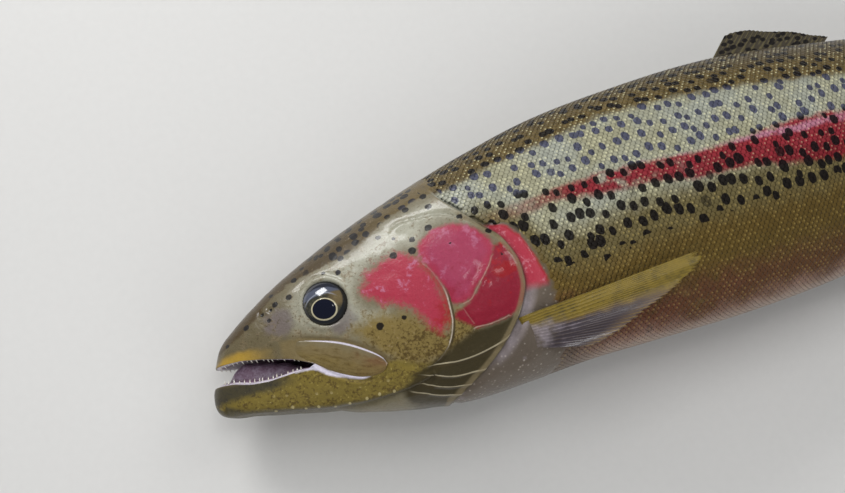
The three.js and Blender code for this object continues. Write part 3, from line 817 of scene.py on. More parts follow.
# Normals of a grid of points, from its central differences
def gridNormals(p):
    n = np.cross(np.gradient(p, axis=0), np.gradient(p, axis=1))
    return n / np.maximum(np.linalg.norm(n, axis=-1, keepdims=True), 1e-12)


# A fin is a sheet that fans from a base line in the flesh to its tip line, ridged by branching rays.
# A base line runs by u from the fin's front to its rear, here along the back or the belly, sunk by root
def midLine(profile, start, end, root):
    def line(u):
        s = start + (end - start) * u
        return np.stack([s, profile(s) - root, 0 * u], -1)
    return line


# The same across a flank, root being its depth under the surface there
def flankLine(start, end, side, root=3):
    def line(u):
        s = start[0] + (end[0] - start[0]) * u
        h = start[1] + (end[1] - start[1]) * u
        return np.stack([s, h, side * (flankAt(s, h) - root)], -1)
    return line


# A straight tip line from the leading corner to the trailing one
def straight(lead, trail):
    lead, trail = np.array(lead, float), np.array(trail, float)
    return lambda u: lead + (trail - lead) * u[..., None]


tailFin = {"root": 552.0, "rootHalf": 25.0, "half": 58.0, "fork": 17.0}


# The tail fin's edge: a parabola, forked in its middle
def tailLine(u):
    across = 1 - 2 * u
    edge = body["tailTip"] - tailFin["fork"] * (1 - across ** 2)
    return np.stack([edge, tailFin["half"] * across, 0 * u], -1)


# The tail fin's root: a straight line down the end of the stalk
def tailRoot(u):
    return np.stack([tailFin["root"] + 0 * u, tailFin["rootHalf"] * (1 - 2 * u), 0 * u], -1)


# rays: how many; fray: how ragged the edge is; round: how far the two corners are cut back;
# wave: how far the sheet ripples; half: half thickness at the root; ribs: how much the rays swell it;
# above: how far over the flank it lies
pectoral = dict(rays=13, round=0.02, half=0.62, columns=150, ribs=0.22)
pelvic = dict(rays=10, fray=0.04, round=0.2, half=0.6, columns=120, bulge=0.08)
fins = {
    "dorsal_fin": dict(base=midLine(topAt, 276, 337, 3),
                       tip=straight((294, 76, -1.5), (346, 58.5, -1)), bulge=0.06,
                       rays=12, fray=0.03, round=0.14, wave=0.5, half=0.62, columns=150),
    "adipose_fin": dict(base=midLine(topAt, 459, 472, 3),
                        tip=straight((481, 46.5, -1), (484, 38, -1)), bulge=0.0,
                        rays=0, fray=0.0, round=0.42, wave=0.1, half=1.0, columns=30),
    "anal_fin": dict(base=midLine(bottomAt, 411, 459, -3),
                     tip=straight((442, -80, -6), (480, -45, -4)), bulge=0.05,
                     rays=11, fray=0.03, round=0.2, wave=0.6, half=0.62, columns=130),
    "caudal_fin": dict(base=tailRoot, tip=tailLine, bulge=0.0,
                       rays=19, fray=0.02, round=0.04, wave=0.5, half=0.85, columns=220),
    "pectoral_fin_left": dict(pectoral, base=flankLine((131.5, -32), (135, -46), 1), bulge=0.2,
                              tip=straight((218, -31, 41), (158, -55, 33)), fray=0.05, wave=0.9, above=1.5),
    "pectoral_fin_right": dict(pectoral, base=flankLine((131.5, -32), (135, -46), -1), bulge=0.12,
                               tip=straight((216, -36, -34.8), (160, -51, -33.4)), fray=0.04, wave=0.2),
    "pelvic_fin_left": dict(pelvic, base=flankLine((297, -55.5), (304, -57.8), 1),
                            tip=straight((352, -55, 27), (342, -62, 6)), wave=0.4),
    "pelvic_fin_right": dict(pelvic, base=flankLine((297, -55.5), (304, -57.8), -1),
                             tip=straight((350, -53, -26), (342, -62, -8)), wave=0.3),
}


# how all the fins are made: steps outwards, the share of thickness lost at the edge, the web's share of it,
# the least half thickness, the floor's height and the least thickness where a fin lies on it
finShape = {"levels": 56, "thinning": 0.62, "web": 0.8, "leastHalf": 0.22, "floor": 0.3, "lying": 0.5}


# A fin's point = root + (tip - root) * v * reach(u); half thickness = half * (1 - thinning * v)
# * (web + ribs * ridge of the rays)
def makeFin(name):
    f = fins[name]
    u = np.linspace(0, 1, f["columns"])[None, :]
    v = (np.linspace(0, 1, finShape["levels"]) ** 0.9)[:, None]
    phase = u * f["rays"]
    frayed = softNoise(phase, phase * 0 + 3, 1.0, f["rays"]) * 0.5
    frayed = frayed + softNoise(phase * 4, phase * 0, 1.0, 5) * 0.3
    scallop = 0.35 * (np.cos(2 * np.pi * phase * 2) - 1)
    ends = 1 - np.sin(np.pi * u) ** 0.5
    most = 1 + f["bulge"] * np.sin(np.pi * u)
    reach = most + f["fray"] * (frayed + scallop) - f["round"] * ends ** 1.4
    root, tip = f["base"](u[0])[None], f["tip"](u[0])[None]
    p = root + (tip - root) * (v * np.minimum(reach, most))[..., None]
    if "above" in f:
        # the fin rises out of its pad and then lies on the flank, eased from one height to the other
        flat = flankAt(p[..., 0], p[..., 1]) - 0.6 + (f["above"] + 0.6) * smooth(v, 0, 0.07)
        gap = p[..., 2] - flat
        p[..., 2] = flat + (gap + np.sqrt(gap * gap + 1.2)) * 0.5 - 0.55 * np.exp(-(v / 0.05) ** 2)
    world = toWorldFin(p)
    n = gridNormals(world)
    ripple = f["wave"] * v ** 1.5 * np.sin(2 * np.pi * (u * 2.3 + v * 0.35)) * mm
    world = world + n * ripple[..., None]
    # rays split in two past half way out, and again near the edge
    first = np.cos(2 * np.pi * phase)
    second = np.cos(4 * np.pi * phase)
    split = smooth(v, 0.35, 0.6)
    ridge = np.clip(first * (1 - split) + second * split, 0, 1) ** 1.5 if f["rays"] else 0 * u * v
    half = f["half"] * (1 - finShape["thinning"] * v) * (finShape["web"] + f.get("ribs", 0.42) * ridge)
    half = np.maximum(half, finShape["leastHalf"]) * mm
    # three columns at each side edge are thinned
    half = half * np.minimum(1, np.minimum(u, 1 - u) * f["columns"] / 3 + 0.35)
    front, rear = world + n * half[..., None], world - n * half[..., None]
    for face in (front, rear):
        face[..., 2] = np.maximum(face[..., 2], finShape["floor"] * mm)
    up, down = (front, rear) if n[..., 2].mean() > 0 else (rear, front)
    up[..., 2] = np.maximum(up[..., 2], down[..., 2] + finShape["lying"] * mm)
    obj = closedSheet(name + "_rays", front, rear)
    uv = np.stack([u + 0 * v, v + 0 * u, phase + 0 * v], -1)
    setAttribute(obj, "fan", np.concatenate([uv, uv]))
    return obj


# Fish frame to world metres for the fins, which stop dead at the floor
def toWorldFin(p):
    z = np.maximum(restHeight(p[..., 0]) + p[..., 2], 0.8)
    return np.stack([p[..., 0] - shiftX, p[..., 1] - shiftY, z], -1) * mm


# An eye is a flattened globe behind the socket's rim, with the lens standing a little out of the pupil
eyes = {
    "behind": 3.6, "radius": 10.8, "depth": 6.0,
    "tilt": (0.2, 0.2),
    "pupil": (-0.6, -4.3), "pupilRadius": 4.6, "ringWidth": 0.7, "lensHeight": 0.12,
}


# x, y = radius * sin(t) about the axis, z = depth * cos(t), turned by small tilts to lie with the face
def makeEye(side, name):
    cx, cy = head["eye"]
    rings, around = 72, 96
    t = np.linspace(0, 1, rings)[:, None] * np.pi * 0.62
    a = np.linspace(0, 2 * np.pi, around, endpoint=False)[None, :]
    rx = eyes["radius"]
    x, y = rx * np.sin(t) * np.cos(a), rx * np.sin(t) * np.sin(a)
    z = eyes["depth"] * np.cos(t) + 0 * a
    px, py = eyes["pupil"]
    toPupil = np.hypot(x - px, y - py)
    front = z > 0
    z = z + front * (eyes["lensHeight"] * np.sqrt(np.maximum(1 - (toPupil / eyes["pupilRadius"]) ** 2, 0)))
    # lean the globe with the face, about the vertical and the long axis
    tx, ty = eyes["tilt"]
    wx, wy, wz = x - z * tx, y + z * ty, z + x * tx - y * ty
    at = flankAt(np.array(cx), np.array(cy)) - eyes["behind"]
    p = np.stack([cx + wx, cy + wy, side * (at + wz)], -1)
    points = np.concatenate([p[0].mean(0)[None], p[1:].reshape(-1, 3), p[-1].mean(0)[None]])
    k = np.arange(around)
    last = len(points) - 1
    faces = gridFaces(rings - 1, around, closed=True) + 1
    tip = np.stack([0 * k, 1 + k, 1 + (k + 1) % around], -1)
    rear = np.stack([0 * k + last, last - around + (k + 1) % around, last - around + k], -1)
    if side > 0:
        faces = faces[:, ::-1]
    else:
        tip, rear = tip[:, ::-1], rear[:, ::-1]
    obj = makeMesh(name, toWorld(points), tip.tolist() + faces.tolist() + rear.tolist())
    flat = np.stack([x, y, z], -1).reshape(-1, 3)
    flat = np.concatenate([flat[:1], flat[around:], [[0, 0, z.min()]]])
    setAttribute(obj, "globe", flat)
    return obj


# The upper jaw's blade on each side: a thin curved plate lying in its bed, spanned between its upper
# and lower edge lines and domed across
def makeMaxilla(side, name):
    topLine, lowLine = smoothLine(plates["maxillaTop"]), smoothLine(plates["maxillaLow"])
    rows, columns = 72, 25
    upper, lower = [np.stack(evenSteps(line, line.T, rows), -1) for line in (topLine, lowLine)]
    c = np.linspace(0, 1, columns)[None, :, None]
    plan = upper[:, None] * (1 - c) + lower[:, None] * c
    x, h = plan[..., 0], plan[..., 1]
    c = c[..., 0]
    t = np.linspace(0, 1, rows)[:, None]
    dome = 1 - np.abs(2 * c - 1) ** 3.0
    top = -0.75 + 0.85 * dome ** 0.5 + 0.22 * bump(c - 0.08, 0.06)
    top = top + 0.3 * bump(c - 0.62, 0.3) * np.sin(np.pi * t)
    top = top + 0.25 * smooth(t, 0.55, 0.95) - 0.5 * (1 - smooth(t, 0.05, 0.4))
    top = top * smooth(t, -0.02, 0.06) - 0.9 * (1 - smooth(t, -0.02, 0.06))
    low = -1.5 - 0.4 * dome
    front = toWorld(surfaceAt(x, h, top, side))
    rear = toWorld(surfaceAt(x, h, low, side))
    if side > 0:
        front, rear, c = front[:, ::-1], rear[:, ::-1], c[:, ::-1]
    obj = closedSheet(name, front, rear)
    blade = np.stack([np.broadcast_to(t, x.shape), np.broadcast_to(c, x.shape), 0 * x], -1)
    setAttribute(obj, "blade", np.concatenate([blade, blade]))
    return obj


# Teeth are small hooked cones in a row along each lip
teeth = {"perSide": 17, "from": 0.5, "to": 35.0, "height": 1.9, "radius": 0.42, "inset": 1.15}


# radius = base radius * (1 - t) ^ 0.8 up each tooth, bent back by the square of t; direction is 1 upwards
def makeTeeth(name, key, direction):
    line = np.array(sorted(head[key]))
    rng = np.random.default_rng(5 if direction < 0 else 9)
    count = teeth["perSide"]
    x = np.tile(np.linspace(teeth["from"], teeth["to"], count) + rng.uniform(-0.5, 0.5, count), 2)
    side = np.repeat([1, -1], count)
    h = np.interp(x, line[:, 0], line[:, 1])
    tall = teeth["height"] * rng.uniform(0.55, 1.15, 2 * count) * np.interp(x, [0, 35], [1.15, 0.75])
    root = surfaceAt(x, h, -teeth["inset"], 1)
    root[:, 2] *= side
    around, levels = 8, 6
    t = np.linspace(0, 1, levels)[None, :, None]
    a = np.linspace(0, 2 * np.pi, around, endpoint=False)[None, None, :]
    radius = teeth["radius"] * (1 - t) ** 0.8 * rng.uniform(0.85, 1.1, (2 * count, 1, 1)) + 0.01
    up = direction * (tall[:, None, None] * t - 0.6) + (1.3 if direction > 0 else -0.2)
    bend = -0.35 * t ** 2 * tall[:, None, None]
    px = root[:, None, None, 0] + radius * np.cos(a) - bend * 0.8
    py = root[:, None, None, 1] + up + 0 * a
    pz = root[:, None, None, 2] + radius * np.sin(a) + bend * np.sign(root[:, None, None, 2]) * 0.5
    p = np.stack([px, py, pz], -1)
    world = toWorld(p)
    per = levels * around
    q = gridFaces(levels, around, closed=True, flip=direction > 0)
    k = np.arange(around)
    faces = (q[None] + np.arange(2 * count)[:, None, None] * per).reshape(-1, 4).tolist()
    tipCap = (levels - 1) * around + (k if direction > 0 else k[::-1])
    baseCap = k[::-1] if direction > 0 else k
    offsets = np.arange(2 * count)[:, None] * per
    # the ring runs from +x to +w, so the tip of a tooth that points down turns the other way
    caps = (offsets + tipCap[None, ::-1]).tolist() + (offsets + baseCap[None, ::-1]).tolist()
    return makeMesh(name, world, faces + caps)


# The tongue is a soft mound between the jaws, blunt in front, with a groove down its middle
tongue = {"front": 3.0, "rear": 47.0, "halfWidth": 5.6}


# Rings of centre + half height * sin(a), half width * cos(a), grown and shut by square roots at the ends
def makeTongue():
    rings, around = 60, 48
    t = np.linspace(0, 1, rings)[:, None]
    a = np.linspace(0, 2 * np.pi, around, endpoint=False)[None, :]
    s = tongue["front"] + (tongue["rear"] - tongue["front"]) * t
    line = np.array(sorted(head["upperLip"]))
    upper = np.interp(s, line[:, 0], line[:, 1]) + 0.8 - 1.6 * smooth(s, 30, 42)
    lineLow = np.array(sorted(head["lowerLip"]))
    lower = np.interp(s, lineLow[:, 0], lineLow[:, 1]) - 4.5
    blunt = np.sqrt(np.clip(1 - (1 - np.minimum(t / 0.28, 1)) ** 2, 0, 1))
    grow = blunt * np.sqrt(np.clip((1 - t) / 0.12, 0, 1))
    centre = (upper + lower) / 2 - 3.0 * (1 - smooth(t, 0, 0.25))
    tall = (upper - lower) / 2 * grow
    wide = np.interp(s, [0, 15, 50], [4.2, tongue["halfWidth"], 7.5]) * grow
    y = centre + tall * np.sin(a) - 0.5 * bump(np.cos(a), 0.16) * (np.sin(a) > 0) * grow
    z = wide * np.cos(a)
    p = np.stack([s + 0 * a, y + 0.2 * np.sin(s * 1.1) * grow, z], -1)
    return closedTube("tongue_mound", toWorld(p))


# The scales are domed tiles in rows that run with the lateral line, each rear edge lying over the next
coat = {
    "pitch": 2.5,         # from one scale to the next along a row
    "rowGap": 1.8,        # between rows
    "length": 3.9, "width": 3.75,
    "lift": 0.035, "sink": 0.15, "dome": 0.035, "edgeDrop": 0.04, "overSkin": 0.22,
    "front": 108.0, "rear": 555.6,
    "patch": 0.003,       # size of one scale's patch in the bake's map
}


# How much smaller the scales get towards the tail
def shrink(s):
    return np.interp(s, [100, 320, 470, 556], [1.0, 1.0, 0.78, 0.66])


# Angles of evenly spaced arcs at every table station
arcGrid = np.linspace(arcTable.min(), arcTable.max(), 700)
angleOfArc = np.array([np.interp(arcGrid, r[::-1], tableAngles[::-1]) for r in arcTable])


# The angle of a place given by its station and its arc from the lateral line
def angleFromArc(s, arc):
    return readTable(angleOfArc, s, (arc - arcGrid[0]) / (arcGrid[1] - arcGrid[0]))


# Roots of every scale of one side: stations stepped by the local pitch, rows by the local gap,
# every other row half a pitch back
def scaleRoots():
    fine = np.linspace(coat["front"], coat["rear"], 4000)
    steps = np.concatenate([[0], np.cumsum(np.diff(fine) / (coat["pitch"] * shrink(fine[1:])))])
    s, row = [], []
    for k in range(-80, 60):
        count = np.arange(0, int(steps[-1])) + (0.5 if k % 2 else 0.0)
        s.append(np.interp(count, steps, fine))
        row.append(np.full(len(count), k))
    s, row = np.concatenate(s), np.concatenate(row)
    arc = row * coat["rowGap"] * shrink(s)
    high, low = arcEnds(s)
    keep = (arc < high - 0.2 * coat["rowGap"]) & (arc > low + 0.2 * coat["rowGap"])
    s, arc, row = s[keep], arc[keep], row[keep]
    a = angleFromArc(s, arc)
    p = sectionPoint(s, a)
    x, h = p[..., 0], p[..., 1]
    keep = coatCover(x, h) > 0.5
    size = 0.78 + 0.22 * smooth(x, 112, 150)
    return s[keep], arc[keep], row[keep], size[keep]


# Each tile is a patch of the body's surface in (along, across) steps: its height = lift * along ^ 1.3
# - sink * (1 - along) + a low dome
def makeScales(name, side, lowRow, highRow, roots, seed):
    s0, arc0, row, size = roots
    pick = (row >= lowRow) & (row <= highRow)
    s0, arc0, size = s0[pick], arc0[pick], size[pick]
    n = len(s0)
    rng = np.random.default_rng(seed)
    along = np.array([0, 0.42, 0.78, 1.0])[:, None]
    across = np.linspace(-1, 1, 5)[None, :]
    # a rounded tongue shape: the rear edge drawn back towards its sides
    back = 1 - 0.36 * np.abs(across) ** 2.2
    u = along * back
    spread = np.interp(along, [0, 0.5, 1], [0.8, 1.0, 0.78])
    v = across * spread
    dome = (1 - across ** 2) * np.sin(np.pi * np.clip(along * 0.9 + 0.05, 0, 1))
    scale = shrink(s0) * size
    length = coat["length"] * scale * rng.uniform(0.94, 1.06, n)
    width = coat["width"] * scale * rng.uniform(0.95, 1.05, n) / 2
    skew = rng.normal(0, 0.05, n)
    s = s0[:, None, None] + length[:, None, None] * (u - 0.45)[None]
    arc = arc0[:, None, None] + width[:, None, None] * v[None]
    arc = arc + (skew * length)[:, None, None] * (u - 0.4)[None]
    high, low = arcEnds(s)
    arcIn = np.clip(arc, low + 0.02, high - 0.02)
    s = np.minimum(s, coat["rear"] + 4)
    a = angleFromArc(np.minimum(s, body["hypuralEnd"]), arcIn)
    lift = (coat["lift"] * rng.uniform(0.75, 1.2, n) * scale)[:, None, None]
    height = -coat["sink"] * (1 - u)[None] + lift * (u ** 1.3)[None] + coat["dome"] * dome[None]
    height = height - coat["edgeDrop"] * (np.abs(across) ** 3)[None] - body["skinInset"] + coat["overSkin"]
    # past the skin's end a tile carries straight on
    sIn = np.minimum(s, body["hypuralEnd"] + 1)
    base = sectionPoint(sIn, a)
    base[..., 0] += s - sIn
    normal = sectionNormal(np.minimum(s, body["hypuralEnd"] - 1), a)
    p = base + normal * height[..., None]
    p[..., 2] *= side
    world = toWorld(p, least=0.12 + 0.5 * np.maximum(0.1 - height, 0), ease=0.25)
    points = world.reshape(-1, 3)
    cell = np.arange(v.size).reshape(v.shape)
    q = np.stack([cell[:-1, :-1], cell[:-1, 1:], cell[1:, 1:], cell[1:, :-1]], -1).reshape(-1, 4)
    rim = np.concatenate([cell[0], cell[1:, -1], cell[-1, -2::-1], cell[-2:0:-1, 0]])
    base0 = np.arange(n)[:, None, None] * v.size
    if side > 0:
        q = q[:, ::-1]
    else:
        rim = rim[::-1]
    quads = (q[None] + base0).reshape(-1, 4)
    under = (rim[None] + base0[:, :, 0]).reshape(n, -1)
    mesh = bpy.data.meshes.new(name)
    mesh.vertices.add(len(points))
    mesh.vertices.foreach_set("co", points.astype(np.float32).ravel())
    loops = np.concatenate([quads.ravel(), under.ravel()])
    starts = np.concatenate([np.arange(len(quads)) * 4, len(quads) * 4 + np.arange(n) * len(rim)])
    mesh.loops.add(len(loops))
    mesh.loops.foreach_set("vertex_index", loops.astype(np.int32))
    mesh.polygons.add(len(quads) + n)
    mesh.polygons.foreach_set("loop_start", starts.astype(np.int32))
    mesh.polygons.foreach_set("use_smooth", np.concatenate([np.ones(len(quads), bool), np.zeros(n, bool)]))
    mesh.update(calc_edges=True)
    obj = placeMesh(mesh)
    # each tile is a small patch at its root's place on the unrolled body
    s0n = (s0 - coat["front"] + 4) / (coat["rear"] - coat["front"] + 8)
    arcRange = (arc0.min() - 6, arc0.max() + 6)
    arc0n = (arc0 - arcRange[0]) / (arcRange[1] - arcRange[0])
    uvU = s0n[:, None, None] + coat["patch"] * (u - 0.5)[None]
    uvV = arc0n[:, None, None] + coat["patch"] * (v / 2)[None]
    perVertex = np.stack([np.broadcast_to(uvU, s.shape), np.broadcast_to(uvV, s.shape)], -1).reshape(-1, 2)
    layer = mesh.uv_layers.new(name="OFBake")
    layer.data.foreach_set("uv", perVertex[loops].astype(np.float32).ravel())
    # marking fields at every corner of every tile, as on the skin
    flatS, flatA = s.ravel(), (a * side).ravel()
    x, h = base[..., 0].ravel(), base[..., 1].ravel()
    markings(obj, x, h, flatS, arcIn.ravel(), flatA, np.ones(len(x)))
    tone = rng.random(n)[:, None, None] * np.ones((1, 4, 5))
    fromFront, fromMiddle = along * np.ones((n, 1, 5)), across * np.ones((n, 4, 1))
    setAttribute(obj, "tile", np.stack([fromFront, fromMiddle, tone], -1))
    return obj


# A wrapped socket that adds Math nodes as it is used in an expression
class Wire:
    def __init__(self, shop, socket):
        self.shop, self.socket = shop, socket

    def __neg__(self):
        return self * -1.0

    def __abs__(self):
        return self.shop.maths("ABSOLUTE", self)

    # 0 below lo, 1 above hi, eased between; lo may be the larger
    def step(self, lo, hi):
        falling = lo > hi
        out = (1.0, 0.0) if falling else (0.0, 1.0)
        ends = (hi, lo) if falling else (lo, hi)
        return self.shop.add("MapRange", {"interpolation_type": "SMOOTHSTEP"},
                             {"Value": self, "From Min": ends[0], "From Max": ends[1],
                              "To Min": out[0], "To Max": out[1]})


# The two-sided operations of a wire, each one Math node; swapped where the wire stands second
def operation(kind, swap):
    return lambda self, other: self.shop.maths(kind, *((other, self) if swap else (self, other)))


for method, kind, swap in (
        ("__add__", "ADD", False), ("__radd__", "ADD", False), ("__sub__", "SUBTRACT", False),
        ("__rsub__", "SUBTRACT", True), ("__mul__", "MULTIPLY", False), ("__rmul__", "MULTIPLY", False),
        ("__truediv__", "DIVIDE", False), ("__pow__", "POWER", False), ("least", "MINIMUM", False),
        ("most", "MAXIMUM", False)):
    setattr(Wire, method, operation(kind, swap))


# A material being built: its fixed values, its fields and noises, and the mixing of colours
class Finish:
    def __init__(self, name, roughness=0.4, coatWeight=0.0, coatRoughness=0.1, specular=0.5):
        self.material = bpy.data.materials.new(name)
        self.material.use_nodes = True
        self.tree = self.material.node_tree
        self.shader = self.tree.nodes["Principled BSDF"]
        self.cache = {}
        for socket, value in (("Roughness", roughness), ("Coat Weight", coatWeight),
                              ("Coat Roughness", coatRoughness), ("Specular IOR Level", specular)):
            self.shader.inputs[socket].default_value = value

    # a node of any type: its settings first, then the values or links of its sockets
    def add(self, kind, settings=None, sockets=None, out=0):
        node = self.tree.nodes.new("ShaderNode" + kind)
        for key, value in (settings or {}).items():
            setattr(node, key, value)
        for key, value in (sockets or {}).items():
            if isinstance(value, Wire):
                self.tree.links.new(value.socket, node.inputs[key])
            elif isinstance(value, tuple) and len(value) == 3 and len(node.inputs[key].default_value) == 4:
                node.inputs[key].default_value = (*value, 1)
            else:
                node.inputs[key].default_value = value
        return Wire(self, node.outputs[out])

    # one Math node on wires or numbers
    def maths(self, kind, *values):
        return self.add("Math", {"operation": kind}, dict(enumerate(values)))

    # the three numbers of an attribute
    def fields(self, name):
        vector = self.add("Attribute", {"attribute_name": name}, out="Vector")
        return [self.add("SeparateXYZ", {}, {0: vector}, out=i) for i in range(3)]

    # one number of an attribute
    def field(self, name):
        return self.add("Attribute", {"attribute_name": name}, out="Fac")

    # the object's own coordinates
    def place(self):
        if "place" not in self.cache:
            self.cache["place"] = self.add("TexCoord", {}, {}, out="Object")
        return self.cache["place"]

    # fractal noise in the object's own millimetres, about 0
    def noise(self, size, detail=2.0, vector=None, roughness=0.5):
        sockets = {"Vector": vector or self.place(), "Scale": 1000.0 / size, "Detail": detail,
                   "Roughness": roughness}
        return self.add("TexNoise", {"noise_dimensions": "3D"}, sockets) - 0.5

    # distance to the nearest of scattered points
    def scattered(self, dimensions, vector, scale, randomness):
        return self.add("TexVoronoi", {"voronoi_dimensions": dimensions},
                        {"Vector": vector, "Scale": scale, "Randomness": randomness}, out="Distance")

    # a colour may be given by its name in hues
    def mix(self, first, second, share):
        first, second = [hues[c] if isinstance(c, str) else c for c in (first, second)]
        return self.add("Mix", {"data_type": "RGBA"}, {0: share, 6: first, 7: second}, out=2)

    # colours laid over one another, each where its share says
    def over(self, colour, *layers):
        for above, share in layers:
            colour = self.mix(colour, above, share)
        return colour

    # a colour made lighter or darker by a number
    def shade(self, colour, amount):
        return self.add("VectorMath", {"operation": "SCALE"}, {0: colour, "Scale": amount})

    # a bumped normal, its distance in millimetres
    def bump(self, height, strength, distance):
        return self.add("Bump", {}, {"Height": height, "Strength": strength, "Distance": distance * mm})

    # the finished material, its three varying sockets linked
    def finish(self, colour, roughness=None, normal=None):
        for key, wire in (("Base Color", colour), ("Roughness", roughness), ("Normal", normal)):
            if wire:
                self.tree.links.new(wire.socket, self.shader.inputs[key])
        return self.material


# Colours of the fish, linear
hues = {
    # the deepest brown is the back's own darker colour and also paints shade and shadows
    # the upper flank's pale colours are partly its own silver and partly painted sheen of the sky in the wet
    # skin
    "back": (0.125, 0.088, 0.032), "deepBrownAndShade": (0.060, 0.043, 0.018), "pale": (0.33, 0.315, 0.205),
    "coolSilverAndSheen": (0.33, 0.34, 0.28), "olive": (0.135, 0.108, 0.044), "gold": (0.125, 0.080, 0.019),
    "copper": (0.128, 0.047, 0.024), "belly": (0.285, 0.165, 0.122), "bellyPale": (0.42, 0.33, 0.27),
    "tailBase": (0.085, 0.069, 0.036), "stripe": (0.27, 0.010, 0.024), "stripeDeep": (0.15, 0.008, 0.014),
    # the grey-blue of spots is their black under painted sheen of the sky
    # the stripe's light colour paints a highlight along it and the lilac of its front
    "stripeLilacAndHighlight": (0.46, 0.19, 0.27), "spot": (0.006, 0.0045, 0.005), "spotUnderSheen": (0.070, 0.074, 0.120),
    # the head's pale is mostly painted sheen of the sky in the wet skin, partly its own silver
    "headTop": (0.070, 0.046, 0.018), "face": (0.185, 0.160, 0.100), "headSilverAndSheen": (0.36, 0.35, 0.27),
    "snout": (0.115, 0.090, 0.044), "violet": (0.150, 0.120, 0.130), "warm": (0.27, 0.20, 0.11),
    "blush": (0.39, 0.026, 0.058), "blushPale": (0.47, 0.16, 0.26), "blushDeep": (0.32, 0.007, 0.012),
    "opercle": (0.34, 0.036, 0.088), "sub": (0.24, 0.008, 0.026), "subRed": (0.37, 0.004, 0.009),
    "blotch": (0.30, 0.003, 0.007), "shoulder": (0.42, 0.038, 0.064), "shoulderPale": (0.55, 0.20, 0.24),
    "goldSnout": (0.39, 0.245, 0.036), "maxilla": (0.175, 0.130, 0.056), "maxillaRear": (0.17, 0.07, 0.035),
    "maxillaFleck": (0.55, 0.40, 0.20), "jaw": (0.20, 0.148, 0.030), "jawDark": (0.036, 0.034, 0.028),
    # the lip's white is partly its own and partly a painted highlight on wet edges
    "jawLight": (0.40, 0.31, 0.085), "pore": (0.50, 0.42, 0.20), "lipWhiteAndHighlight": (0.62, 0.58, 0.68),
    "goldCheek": (0.215, 0.155, 0.048), "goldDark": (0.085, 0.054, 0.014), "branch": (0.040, 0.030, 0.011),
    "branchEdge": (0.44, 0.38, 0.25), "throat": (0.36, 0.31, 0.33), "granule": (0.125, 0.098, 0.074),
    # the seams' pale and the cheek rim's pale are painted highlights along the plates' edges
    "grain": (0.46, 0.40, 0.33), "seam": (0.55, 0.43, 0.33), "cheekRimHighlight": (0.70, 0.62, 0.52),
    "rim": (0.22, 0.17, 0.09), "speck": (0.55, 0.47, 0.26), "glintGold": (0.34, 0.25, 0.075),
    "glintPale": (0.66, 0.63, 0.38), "mouth": (0.17, 0.095, 0.15), "mouthDeep": (0.012, 0.008, 0.012),
    "gum": (0.56, 0.50, 0.58), "under": (0.10, 0.02, 0.018),
}


